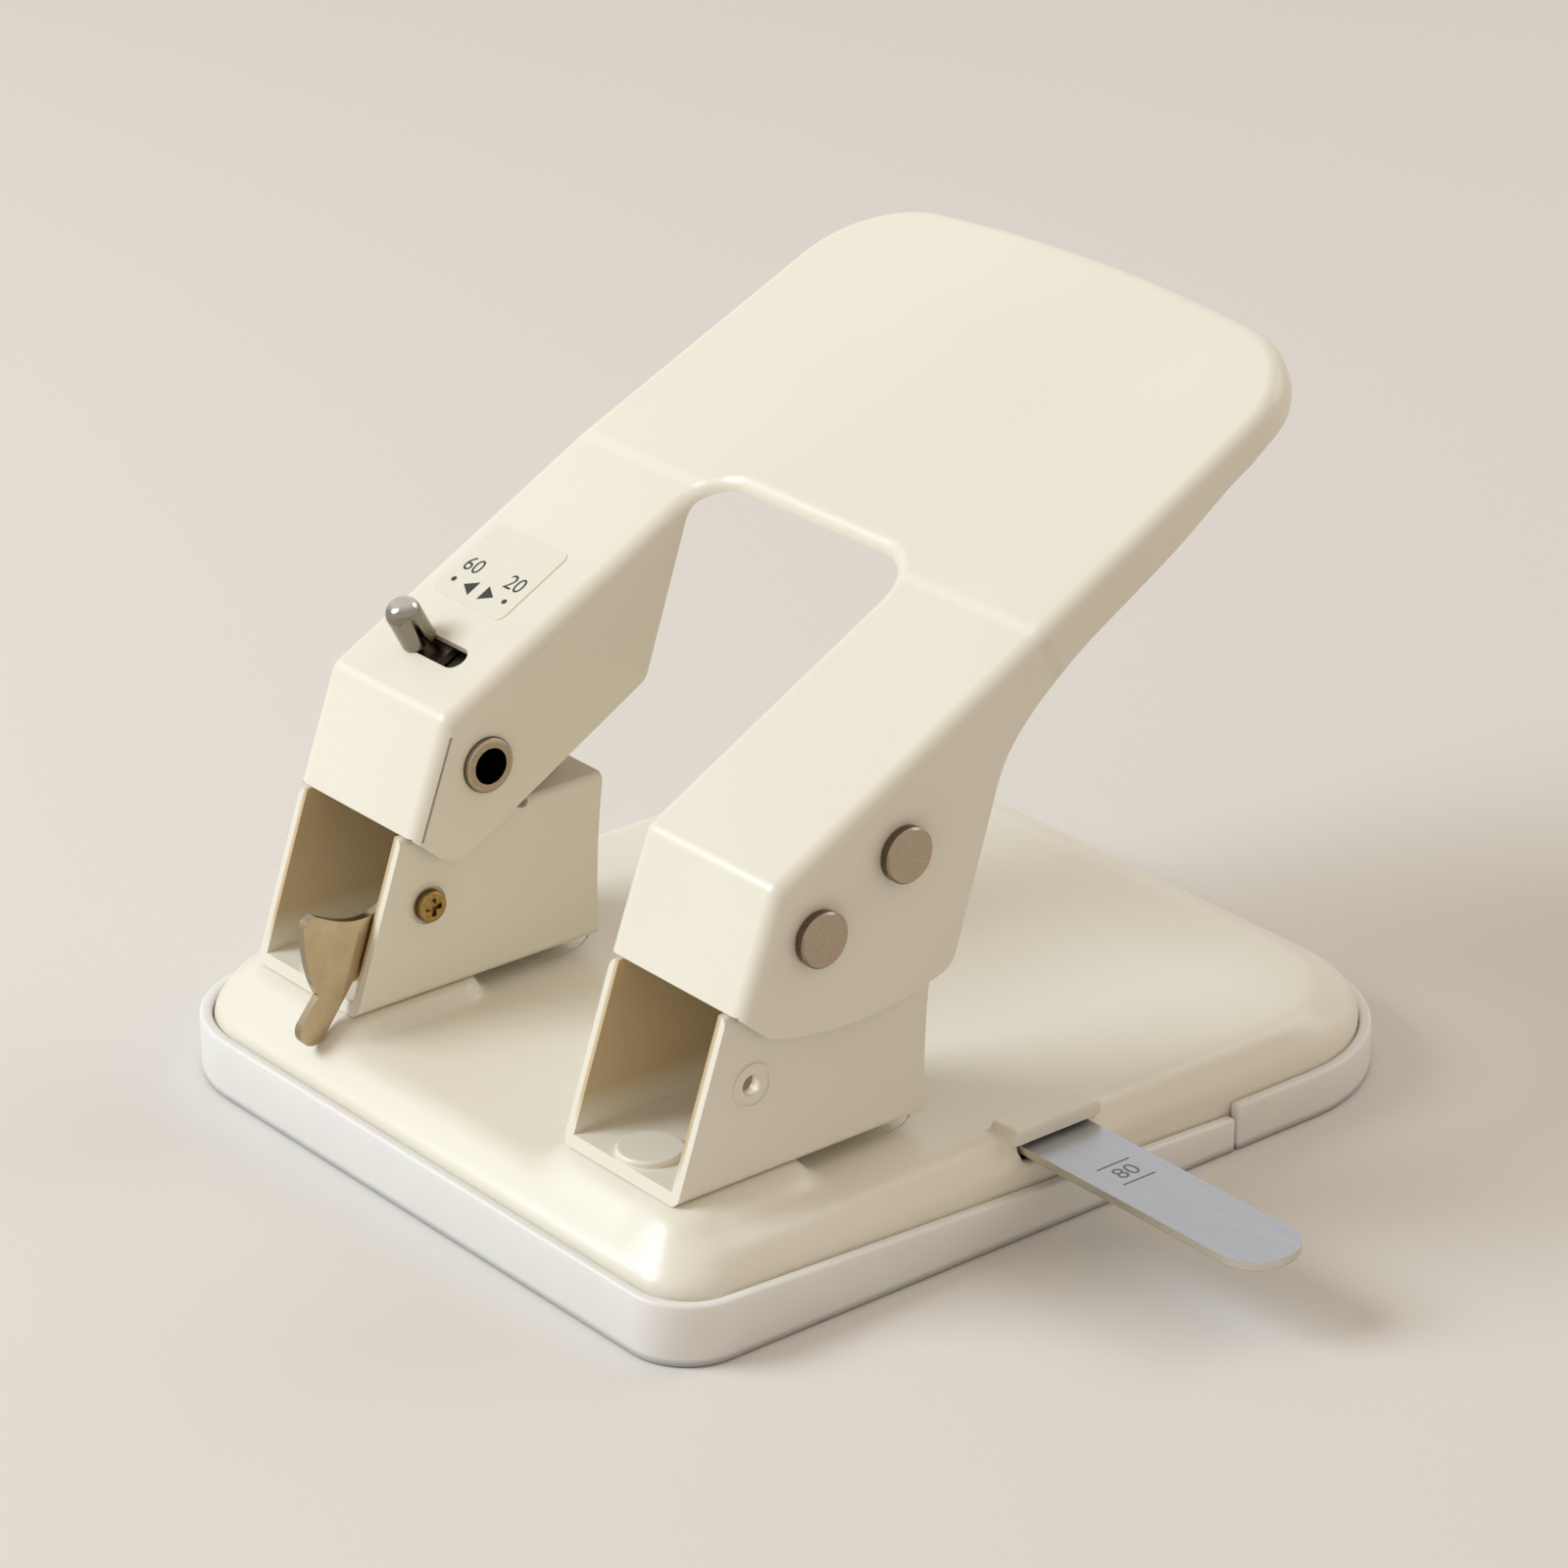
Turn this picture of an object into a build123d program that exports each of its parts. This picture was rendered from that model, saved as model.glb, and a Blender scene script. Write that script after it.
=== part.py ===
from build123d import *
from math import atan2, cos, degrees, pi, radians, sin, sqrt, tan
import os

# Two-head desk punch for 6 mm holes 80 mm apart, in millimetres.
# X runs along the front edge, Y to the rear, where the palm plate is, and Z up from the table.
# The origin is the middle of the base's underside. The handle is in its raised position.

os.makedirs("parts", exist_ok=True)

# Heads and holes
head_pitch = 80.0
punch_diameter = 6.0
die_gap = 0.08
guide_gap = 0.05
overrun = 1.0

# Base shell and the soft tray under it
base_side = 28.25
base_width = head_pitch + 2 * base_side
base_depth = 156.5
front_corner = 22.0
rear_corner = 28.5
front_ledge = 11.9
tray_wall = 2.0
tray_floor = 1.6
tray_front_height = 10.4
tray_rear_height = 5.5
flap_height = 7.7
tray_ledge = 1.8
tray_seat_gap = 0.1
tray_edge_round = 0.7
tray_foot_chamfer = 0.6
tray_gap = 0.2
deck_height = 15.3
shoulder_height = 10.6
rim_height = 3.2
base_sheet = 1.5
deck_front_inset = 5.8
deck_side_inset = 3.4
deck_rear_inset = 10.0
deck_front_corner = 14.0
deck_rear_corner = 22.0
deck_round = 3.0
land_rise = 2.7
land_inner = 15.0
land_outer = 16.0
land_ledge = 1.0
land_depth = 25.0
land_skirt = 3.0
land_corner = 5.0
land_setback = 0.4
flap_depth = 46.0
flap_split = 0.4

# Head frames
frame_width = 27.2
frame_depth = 49.0
frame_sheet = 1.9
frame_height = 28.0
frame_front_lean = 9.7
frame_step = 3.6
frame_foot_short = 1.4
frame_waist = 1.4
relief_hole = 2.8
handle_rest_gap = 0.1
frame_bend = 1.5
roof_depth = 16.0
ear_radius = 6.0
lock_hole_back = 14.2
lock_hole_rise = 15.6
lock_hole = 3.4
coin_ring = 7.0
coin_ring_height = 0.3
rivet_head = 10.5
rivet_head_height = 1.0
rivet_shank = 6.0
rivet_tail = 8.5
rivet_back = 6.0
rivet_gap = 0.05

# Pivot and drive pins, measured from the frame's front edge and from the land under it
pivot_back = 24.6
pivot_rise = 37.3
drive_back = 40.7
drive_rise = 46.0
pivot_pin = 7.2
pivot_bore = 6.0
pin_gap = 0.06
pin_head = 8.8
pin_head_height = 1.9
pin_head_chamfer = 0.3
eyelet_round_share = 0.8
eyelet_roll = 9.2
eyelet_height = 1.0
drive_pin = 5.0
drive_pin_reach = 7.0

# Handle: a U of two arms with a palm plate
handle_sheet = 1.4
handle_clearance = 1.1
crease_back = 67.5
crease_rise = 73.0
arm_slope = 28.0
palm_slope = 26.0
nose_back = 10.6
nose_rise = 27.9
brow_back = 17.6
chin_back = 15.6
chin_rise = 23.6
belly_back = 32.0
belly_rise = 21.3
heel_back = 50.6
heel_rise = 24.6
heel_lean = 73.0
heel_corner = 4.0
chin_corner = 3.0
# The foot of the rim, as runs up the palm plate from the crease and depths under its skin
rim_foot = ((-20.0, 18.9), (-14.2, 13.3), (-7.8, 10.2), (-1.0, 8.4), (8.0, 7.4), (21.8, 7.0),
            (35.8, 5.0), (45.0, 3.6))
rim_rear_depth = 3.3
rim_rear_start = 57.0
palm_length = 69.5
palm_corner = 19.0
palm_end_crown = 3.0
edge_roll = 2.8
window_rear_back = 70.9
window_lip = 1.7
slit_width = 0.4
slit_top_rise = 43.5
window_corner = 7.0
inner_edge_back = 18.9
inner_edge_rise = 22.2
inner_edge_slope = 29.5
inner_wall_rear = (56.6, 45.2)
inner_wall_lean = 71.2
inner_foot_corner = 3.0
inner_head_corner = 5.0
lip_rear = 75.5
channel_run = 12.0
skin_likeness_share = 0.9995

# Punches, their guides and springs
punch_back = 41.8
punch_tip_lift = 0.6
stroke = 7.3
notch_depth = 2.0
die_plug = 22.0
die_flange = 26.0
die_height = 6.0
die_relief = 8.0
die_rim = 9.0
die_rim_rise = 0.2
guide_diameter = 10.0
guide_flange = 14.0
guide_flange_height = 1.3
upper_guide_drop = 1.2
collar_diameter = 13.5
collar_height = 2.4
collar_gap = 0.3
spring_wire = 1.1
spring_diameter = 11.2
spring_turns = 5.5
spring_seat_gap = 0.1
yoke_width = 11.0
yoke_depth = 13.0
yoke_height = 10.7
yoke_corner = 1.2
yoke_slot_rise = 0.55
yoke_slot_run = 4.2
yoke_below_pin = 6.6
yoke_screw = 4.0

# Selector on the left arm
selector_back = 26.6
selector_offset = 3.9
selector_travel = 8.6
knob_diameter = 5.8
knob_height = 8.2
knob_neck = 3.6
knob_crown = 2.2
slot_width = 4.4
slot_spare = 1.6
slide_length = 11.0
slide_depth = 10.0
slide_sheet = 1.2
slide_gap = 0.2
channel_gap = 0.3
guide_rail = 1.4
guide_sheet = 1.0
guide_length = 21.0
label_width = 22.0
label_depth = 12.5
label_sheet = 0.15
label_run = 14.0
label_corner = 1.5

# Lock lever in the left head
lever_sheet = 1.5
lever_eye = 5.0
lever_washer = 0.4
lever_top = ((-19.6, 2.9), (-17.3, 1.7), (-14.1, 0.4), (-11.1, -0.1), (-7.6, 0.6))
lever_horn = (-21.2, 2.4)
lever_cheek = ((-21.8, 0.6), (-21.6, -3.0), (-20.8, -7.4), (-19.5, -10.8))
lever_tab_front = (-22.8, -14.8)
lever_tab_tip = (-22.4, -18.2)
lever_tab_back = (-18.6, -17.8)
lever_heel = (-13.0, -10.2)
screw_head = 5.4
screw_head_height = 1.4
screw_slot = 0.9
screw_slot_depth = 0.6
screw_shank = 3.0
screw_cross = 3.0
nut_width = 6.0
nut_height = 2.4

# Paper gauge
gauge_back = 57.2
gauge_width = 13.6
gauge_sheet = 1.6
gauge_drop = 0.3
gauge_reach = 114.5
gauge_inner = 12.0
gauge_corner = 6.2
gauge_gap = 0.3
gauge_rail = 1.6
gauge_floor = 1.2
gauge_guide_run = 38.0
gauge_guide_setback = 4.65
gauge_hood = 2.0
gauge_hood_rise = 1.3
gauge_hood_run = 5.6
gauge_slot_height = 2.8
gauge_edge_round = 0.5
stop_diameter = 5.0
stop_drop = 1.9
spring_leaf = 0.4
spring_leaf_width = 7.0
spring_leaf_run = 18.0
spring_leaf_gap = 0.15
leaf_tab = 6.0

# Places that follow from the sizes above
front_y = -base_depth / 2 + front_ledge
land_z = deck_height + land_rise
floor_z = land_z + frame_sheet
roof_z = land_z + frame_height
frame_half = frame_width / 2
arm_half = frame_half + handle_clearance + handle_sheet
arm_outer = head_pitch / 2 + arm_half
arm_inner = head_pitch / 2 - arm_half
pivot_z = land_z + pivot_rise
step_z = land_z + nose_rise - handle_rest_gap
drive_z = land_z + drive_rise
punch_y = front_y + punch_back
heads = {"left": -head_pitch / 2, "right": head_pitch / 2}


def save(piece, label):
    """Name a finished piece and write it."""
    piece.part.label = label
    export_step(piece.part, f"parts/{label}.step")


def side_plane(x):
    """A plane across X whose own axes are the distance behind the frames' front edge and Z."""
    return Plane(origin=(x, front_y, 0), x_dir=(0, 1, 0), z_dir=(1, 0, 0))


def rounded_outline(height, left, right, front, rear, left_radius, right_radius, rear_radius):
    """A level four-cornered outline with a radius for each front corner and one for the rear."""
    with BuildSketch(Plane.XY.offset(height)) as outline:
        with BuildLine():
            Polyline((left, front), (right, front), (right, rear), (left, rear), close=True)
        make_face()
        fillet(outline.vertices().group_by(Axis.Y)[-1], radius=rear_radius)
        fillet(outline.vertices().group_by(Axis.Y)[0].sort_by(Axis.X)[0], radius=left_radius)
        fillet(outline.vertices().group_by(Axis.Y)[0].sort_by(Axis.X)[-1], radius=right_radius)
    return outline.sketch


def base_outline(height, inset):
    """The base's outline, drawn in all round by an inset."""
    side = base_width / 2 - inset
    end = base_depth / 2 - inset
    front_radius = front_corner - inset
    return rounded_outline(height, -side, side, -end, end, front_radius, front_radius, rear_corner - inset)


def along(start, angle, run):
    """The point at a run from start, at an angle in degrees, in a side view."""
    return (start[0] + run * cos(radians(angle)), start[1] + run * sin(radians(angle)))


def crossing(first, first_angle, second, second_angle):
    """Where two lines of a side view cross, each given by a point and an angle in degrees."""
    ax, ay = cos(radians(first_angle)), sin(radians(first_angle))
    bx, by = cos(radians(second_angle)), sin(radians(second_angle))
    run = ((second[0] - first[0]) * by - (second[1] - first[1]) * bx) / (ax * by - ay * bx)
    return (first[0] + ax * run, first[1] + ay * run)


# Base shell: one pressed sheet, with a raised land under each head
shell_inset = tray_wall + tray_gap
shell_side = base_width / 2 - shell_inset
shell_end = base_depth / 2 - shell_inset
deck_side = shell_side - deck_side_inset
deck_front = shell_end - deck_front_inset
deck_rear = shell_end - deck_rear_inset
gauge_guide_outer = deck_side - gauge_guide_setback
gauge_guide_inner = gauge_guide_outer - gauge_guide_run
gauge_front = front_y + gauge_back
gauge_mid = gauge_front + gauge_width / 2
gauge_top = deck_height - base_sheet - gauge_drop
gauge_bottom = gauge_top - gauge_sheet
land_front = front_y - land_ledge
land_rear = land_front + land_depth
land_rear_foot = land_rear + land_skirt

with BuildPart() as base_shell:
    for inset, mode in ((0, Mode.ADD), (base_sheet, Mode.SUBTRACT)):
        edge = shell_inset + inset
        extrude(base_outline(rim_height, edge), amount=shoulder_height - rim_height, mode=mode)
        deck = rounded_outline(deck_height - inset, inset - deck_side, deck_side - inset, inset - deck_front,
                               deck_rear - inset, deck_front_corner - inset, deck_front_corner - inset,
                               deck_rear_corner - inset)
        loft(sections=[base_outline(shoulder_height, edge), deck], ruled=True, mode=mode)
        if inset == 0:
            fillet(base_shell.faces().sort_by(Axis.Z)[-1].edges(), radius=deck_round)
        for x in heads.values():
            outward = 1 if x > 0 else -1
            foot_side = shell_side - land_setback - inset
            foot_sides = sorted((outward * foot_side, x - outward * (land_inner + land_skirt - inset)))
            land_sides = sorted((x + outward * (land_outer - inset), x - outward * (land_inner - inset)))
            foot_radii = (front_corner - edge, land_corner) if x < 0 else (land_corner, front_corner - edge)
            foot = rounded_outline(shoulder_height, *foot_sides, land_setback + inset - shell_end,
                                   land_rear_foot - inset, *foot_radii, land_corner)
            land = rounded_outline(land_z - inset, *land_sides, land_front + inset, land_rear - inset,
                                   land_corner, land_corner, land_corner)
            loft(sections=[foot, land], ruled=True, mode=mode)
    with BuildSketch(Plane.XY.offset(deck_height)):
        with Locations(*[(x, punch_y) for x in heads.values()]):
            Circle(die_plug / 2 + rivet_gap)
    extrude(amount=-base_sheet - overrun, mode=Mode.SUBTRACT)
    with BuildSketch(Plane.XY.offset(deck_height)):
        with Locations(*[(x, front_y + rivet_back) for x in heads.values()]):
            Circle(rivet_shank / 2 + rivet_gap)
    extrude(amount=land_rise, mode=Mode.SUBTRACT)
    with BuildSketch(Plane.YZ.offset(deck_side - gauge_hood_run / 2)):
        with Locations((gauge_mid, deck_height)):
            RectangleRounded(gauge_width + 2 * gauge_hood, 2 * gauge_hood_rise, gauge_hood_rise / 2)
    extrude(amount=gauge_hood_run)
    with BuildSketch(Plane.YZ.offset(deck_side - gauge_hood_run)):
        with Locations((gauge_mid, gauge_top + gauge_gap - gauge_slot_height / 2)):
            Rectangle(gauge_width + 2 * gauge_gap, gauge_slot_height)
    extrude(amount=base_width / 2, mode=Mode.SUBTRACT)
save(base_shell, "base_shell")

# Soft tray under the base: the front part stays on, the rear part is a flap that empties the chips
split_y = base_depth / 2 - flap_depth
ledge_height = rim_height - tray_seat_gap

with BuildPart() as whole_tray:
    extrude(base_outline(0, 0), amount=tray_front_height)
    extrude(base_outline(ledge_height, tray_wall), amount=tray_front_height, mode=Mode.SUBTRACT)
    extrude(base_outline(tray_floor, tray_wall + tray_ledge), amount=tray_front_height, mode=Mode.SUBTRACT)
    fillet(whole_tray.faces().sort_by(Axis.Z)[-1].edges(), radius=tray_edge_round)
    chamfer(whole_tray.faces().sort_by(Axis.Z)[0].edges(), length=tray_foot_chamfer)

with BuildPart() as chip_tray:
    add(whole_tray.part)
    with BuildSketch(Plane.YZ.offset(-base_width)):
        with BuildLine():
            Polyline((-base_depth / 2, tray_front_height), (split_y, tray_rear_height),
                     (split_y, tray_front_height + overrun), (-base_depth / 2, tray_front_height + overrun),
                     close=True)
        make_face()
    extrude(amount=2 * base_width, mode=Mode.SUBTRACT)
    split(bisect_by=Plane.XZ.offset(-split_y), keep=Keep.TOP)
save(chip_tray, "chip_tray")

with BuildPart() as chip_flap:
    add(whole_tray.part)
    split(bisect_by=Plane.XZ.offset(-split_y - flap_split), keep=Keep.BOTTOM)
    split(bisect_by=Plane.XY.offset(flap_height), keep=Keep.BOTTOM)
save(chip_flap, "chip_flap")


# Head frames: a bent channel with a roof over the punch and an ear each side for the pivot
def frame_outline(x):
    roof_front = (frame_depth - roof_depth, roof_z)
    with BuildSketch(side_plane(x)) as outline:
        with BuildLine():
            Polyline((frame_depth - frame_foot_short, land_z), (0, land_z), (frame_front_lean, step_z),
                     (frame_front_lean + frame_step, step_z),
                     (pivot_back - ear_radius, pivot_z), (pivot_back + ear_radius, pivot_z), roof_front,
                     (frame_depth, roof_z))
            ThreePointArc((frame_depth, roof_z), (frame_depth - frame_waist, land_z + frame_height / 2),
                          (frame_depth - frame_foot_short, land_z))
        make_face()
        with Locations((pivot_back, pivot_z)):
            Circle(ear_radius)
    return outline.sketch


lock_hole_y = front_y + lock_hole_back
lock_hole_z = land_z + lock_hole_rise
pivot_y = front_y + pivot_back
drive_y = front_y + drive_back

for side, x in heads.items():
    with BuildPart() as head_frame:
        extrude(frame_outline(x - frame_half), amount=frame_width)
        with BuildSketch(side_plane(x - frame_half + frame_sheet)):
            with BuildLine():
                Polyline((-overrun, floor_z), (frame_depth + overrun, floor_z),
                         (frame_depth + overrun, roof_z - frame_sheet),
                         (frame_depth - roof_depth, roof_z - frame_sheet),
                         (frame_depth - roof_depth, pivot_z + 2 * ear_radius),
                         (-overrun, pivot_z + 2 * ear_radius), close=True)
            make_face()
        extrude(amount=frame_width - 2 * frame_sheet, mode=Mode.SUBTRACT)
        bends = head_frame.edges().filter_by(Axis.Y).filter_by(
            lambda edge: abs(abs(edge.center().X - x) - frame_half) < die_gap)
        fillet(bends, radius=frame_bend)
        with BuildSketch(Plane.YZ.offset(x + frame_half)):
            with Locations((lock_hole_y, lock_hole_z)):
                Circle(coin_ring / 2)
        extrude(amount=coin_ring_height)
        with BuildSketch(Plane.YZ.offset(x + frame_half + coin_ring_height)):
            with Locations((lock_hole_y, lock_hole_z)):
                Circle(coin_ring / 2 - coin_ring_height)
        extrude(amount=-coin_ring_height, mode=Mode.SUBTRACT)
        with BuildSketch(Plane.YZ.offset(x)):
            with Locations((lock_hole_y, lock_hole_z)):
                Circle(lock_hole / 2)
        extrude(amount=frame_width, mode=Mode.SUBTRACT)
        with BuildSketch(Plane.YZ.offset(x)):
            with Locations((pivot_y, pivot_z)):
                Circle(pivot_pin / 2 + pin_gap)
            with Locations((front_y + frame_depth - roof_depth, roof_z)):
                Circle(relief_hole / 2)
        extrude(amount=frame_width, both=True, mode=Mode.SUBTRACT)
        with BuildSketch(Plane.XY.offset(land_z)):
            with Locations((x, front_y + rivet_back)):
                Circle(rivet_shank / 2 + rivet_gap)
            with Locations((x, punch_y)):
                Circle(guide_diameter / 2 + rivet_gap)
        extrude(amount=2 * frame_height, mode=Mode.SUBTRACT)
    save(head_frame, f"head_frame_{side}")

    # Low flat rivet that holds the frame to its land
    with BuildPart() as frame_rivet:
        with BuildSketch(Plane.XY.offset(floor_z)):
            with Locations((x, front_y + rivet_back)):
                Circle(rivet_head / 2)
        extrude(amount=rivet_head_height)
        fillet(frame_rivet.edges().group_by(Axis.Z)[-1], radius=rivet_head_height / 2)
        with BuildSketch(Plane.XY.offset(land_z - base_sheet)):
            with Locations((x, front_y + rivet_back)):
                Circle(rivet_shank / 2)
        extrude(amount=base_sheet + frame_sheet)
        with BuildSketch(Plane.XY.offset(land_z - base_sheet)):
            with Locations((x, front_y + rivet_back)):
                Circle(rivet_tail / 2)
        extrude(amount=-rivet_head_height)
    save(frame_rivet, f"frame_rivet_{side}")

    # Die let into the base, with a wider relief that lets the chips fall
    with BuildPart() as die:
        with BuildSketch(Plane.XY.offset(deck_height - die_height)):
            with Locations((x, punch_y)):
                Circle(die_flange / 2)
        extrude(amount=die_height - base_sheet)
        with BuildSketch(Plane.XY.offset(deck_height - base_sheet)):
            with Locations((x, punch_y)):
                Circle(die_plug / 2)
        extrude(amount=base_sheet)
        with BuildSketch(Plane.XY.offset(deck_height)):
            with Locations((x, punch_y)):
                Circle(die_rim / 2)
        extrude(amount=die_rim_rise)
        with BuildSketch(Plane.XY.offset(deck_height - die_height)):
            with Locations((x, punch_y)):
                Circle(punch_diameter / 2 + die_gap)
        extrude(amount=2 * die_height, mode=Mode.SUBTRACT)
        with BuildSketch(Plane.XY.offset(deck_height - die_height)):
            with Locations((x, punch_y)):
                Circle(die_relief / 2)
        extrude(amount=die_height / 3, mode=Mode.SUBTRACT)
    save(die, f"die_{side}")


# Guides in the frame's floor and roof, the punch, its collar and its return spring
def flanged_bush(x, flange_z, drop, lift):
    """A bush whose flange stands on a sheet at flange_z and whose body reaches down by drop."""
    with BuildPart() as bush:
        with BuildSketch(Plane.XY.offset(flange_z)):
            with Locations((x, punch_y)):
                Circle(guide_flange / 2)
        extrude(amount=lift)
        with BuildSketch(Plane.XY.offset(flange_z)):
            with Locations((x, punch_y)):
                Circle(guide_diameter / 2)
        extrude(amount=-drop)
        with BuildSketch(Plane.XY.offset(flange_z + lift)):
            with Locations((x, punch_y)):
                Circle(punch_diameter / 2 + guide_gap)
        extrude(amount=-drop - lift, mode=Mode.SUBTRACT)
    return bush


def biarc(start, start_way, end, end_way):
    """The middle point of two arcs that join two points with given directions."""
    chord = end - start
    ways = start_way + end_way
    spread = 2 * (1 - start_way.dot(end_way))
    reach = (sqrt(chord.dot(ways) ** 2 + spread * chord.dot(chord)) - chord.dot(ways)) / spread
    first = start + start_way * reach
    second = end - end_way * reach
    return (first + second) * 0.5, (second - first).normalized()


def coil_point(x, low_z, high_z, turn):
    """A point of the coil's centre line and its direction, at a number of turns from the bottom."""
    angle = 2 * pi * turn
    radius = spring_diameter / 2
    rise = (high_z - low_z) / spring_turns
    point = Vector(x + radius * cos(angle), punch_y + radius * sin(angle), low_z + rise * turn)
    way = Vector(-radius * sin(angle), radius * cos(angle), rise / (2 * pi)).normalized()
    return point, way


guide_top = floor_z + guide_flange_height
collar_top = roof_z - frame_sheet - upper_guide_drop - collar_gap
collar_bottom = collar_top - collar_height
punch_tip = land_z + punch_tip_lift
yoke_bottom = drive_z - yoke_below_pin
coil_low = guide_top + spring_seat_gap + spring_wire / 2
coil_high = collar_bottom - spring_seat_gap - spring_wire / 2
coil_gap = (coil_high - coil_low) / spring_turns - spring_wire
print("least gap between the spring's turns", round(coil_gap, 2), "raised and",
      round(coil_gap - stroke / spring_turns, 2), "pressed")

for side, x in heads.items():
    lower_guide = flanged_bush(x, floor_z, frame_sheet, guide_flange_height)
    save(lower_guide, f"lower_guide_{side}")
    upper_guide = flanged_bush(x, roof_z, frame_sheet + upper_guide_drop, guide_flange_height)
    save(upper_guide, f"upper_guide_{side}")

    with BuildPart() as punch:
        with BuildSketch(Plane.XY.offset(punch_tip)):
            with Locations((x, punch_y)):
                Circle(punch_diameter / 2)
        extrude(amount=yoke_bottom + yoke_screw - punch_tip)
        with BuildSketch(Plane.YZ.offset(x)):
            with BuildLine():
                Polyline((punch_y - punch_diameter / 2, punch_tip), (punch_y, punch_tip + notch_depth),
                         (punch_y + punch_diameter / 2, punch_tip), close=True)
            make_face()
        extrude(amount=punch_diameter, both=True, mode=Mode.SUBTRACT)
    save(punch, f"punch_{side}")

    with BuildPart() as spring_collar:
        with BuildSketch(Plane.XY.offset(collar_bottom)):
            with Locations((x, punch_y)):
                Circle(collar_diameter / 2)
                Circle(punch_diameter / 2 + guide_gap, mode=Mode.SUBTRACT)
        extrude(amount=collar_height)
        chamfer(spring_collar.edges().filter_by(GeomType.CIRCLE).sort_by(SortBy.RADIUS)[-2:],
                length=collar_height / 6)
    save(spring_collar, f"spring_collar_{side}")

    with BuildPart() as return_spring:
        with BuildLine():
            first, first_way = coil_point(x, coil_low, coil_high, 0)
            steps = round(4 * spring_turns)
            Line(first - first_way * spring_wire, first)
            for step in range(steps):
                start, start_way = coil_point(x, coil_low, coil_high, step / 4)
                end, end_way = coil_point(x, coil_low, coil_high, (step + 1) / 4)
                middle, middle_way = biarc(start, start_way, end, end_way)
                TangentArc(start, middle, tangent=start_way)
                TangentArc(middle, end, tangent=middle_way)
            Line(end, end + end_way * spring_wire)
        with BuildSketch(Plane(origin=first - first_way * spring_wire, z_dir=first_way)):
            Circle(spring_wire / 2)
        sweep()
    save(return_spring, f"return_spring_{side}")

    with BuildPart() as punch_yoke:
        with BuildSketch(Plane.XY.offset(yoke_bottom)):
            with Locations((x, punch_y)):
                RectangleRounded(yoke_width, yoke_depth, yoke_corner)
        extrude(amount=yoke_height)
        with BuildSketch(Plane.XY.offset(yoke_bottom)):
            with Locations((x, punch_y)):
                Circle(punch_diameter / 2 + guide_gap)
        extrude(amount=yoke_screw, mode=Mode.SUBTRACT)
        with BuildSketch(Plane.YZ.offset(x)):
            with Locations((punch_y, drive_z)):
                SlotOverall(drive_pin + yoke_slot_run, drive_pin + yoke_slot_rise)
        extrude(amount=yoke_width, both=True, mode=Mode.SUBTRACT)
    save(punch_yoke, f"punch_yoke_{side}")

# Handle: outer form less the window, less the hollow, with the inner walls cut short
nose = (nose_back, land_z + nose_rise)
crease = (crease_back, land_z + crease_rise)
brow = (brow_back, crease[1] - (crease_back - brow_back) * tan(radians(arm_slope)))
front_lean = degrees(atan2(brow[1] - nose[1], brow[0] - nose[0]))
chin = (chin_back, land_z + chin_rise)
belly = (belly_back, land_z + belly_rise)
heel = (heel_back, land_z + heel_rise)
inner_crease = crossing(along(crease, arm_slope - 90, handle_sheet), arm_slope,
                        along(crease, palm_slope - 90, handle_sheet), palm_slope)
inner_brow = crossing(along(nose, front_lean - 90, handle_sheet), front_lean, inner_crease, arm_slope)
inner_end = along(inner_crease, palm_slope, channel_run)
cavity_floor = land_z
inner_nose = crossing(inner_brow, front_lean, nose, 0)
palm_up = Vector(0, -sin(radians(palm_slope)), cos(radians(palm_slope)))
arm_up = Vector(0, -sin(radians(arm_slope)), cos(radians(arm_slope)))
front_up = Vector(0, -sin(radians(front_lean)), cos(radians(front_lean)))
crease_point = Vector(0, front_y + crease[0], crease[1])


def palm_plane(depth):
    """The palm plate's plane, sunk by a depth, with its own Y running up the plate."""
    return Plane(origin=crease_point - palm_up * depth, x_dir=(1, 0, 0), z_dir=palm_up)


def palm_outline(depth, inset, front):
    """The handle's plan on the palm plane, drawn in by an inset, from a front edge to the rear."""
    side = arm_outer - inset
    end = palm_length - inset
    shoulder = end - palm_end_crown
    with BuildSketch(palm_plane(depth)) as outline:
        with BuildLine():
            Polyline((-side, shoulder), (-side, front), (side, front), (side, shoulder))
            ThreePointArc((side, shoulder), (0, end), (-side, shoulder))
        make_face()
        fillet(outline.vertices().group_by(Axis.Y)[-1], radius=palm_corner - inset)
    return outline.sketch


def window_outline(grow):
    """The window between the arms, drawn level, grown all round by the sheet for the hollow."""
    half = arm_inner + grow
    rear = front_y + window_rear_back + grow
    front = -base_depth
    with BuildSketch(Plane.XY) as outline:
        with BuildLine():
            Polyline((-half, front), (half, front), (half, rear), (-half, rear), close=True)
        make_face()
        fillet(outline.vertices().group_by(Axis.Y)[-1], radius=window_corner + grow)
    return outline.sketch


def rolled_edges(form):
    """The edges round the skin of the arms, their fronts and the palm plate.

    The crease across the arms and the foot of each front stay sharp.
    """
    rolled = ShapeList()
    for face in form.faces().filter_by(GeomType.PLANE):
        if max(face.normal_at().dot(way) for way in (arm_up, palm_up, front_up)) < skin_likeness_share:
            continue
        for edge in face.edges():
            across = abs(edge.tangent_at(0).X) > skin_likeness_share
            crease_like = across and abs(edge.center().Y - crease_point.Y) < handle_sheet / 2
            foot_like = edge.center().Z < nose[1] + handle_sheet / 2
            if not (crease_like or foot_like or any(edge.is_same(other) for other in rolled)):
                rolled.append(edge)
    return rolled


def under_palm(run, depth):
    """A side-view point at a run up the palm plate from the crease and a depth under its skin."""
    return along(along(crease, palm_slope, run), palm_slope - 90, depth)


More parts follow.
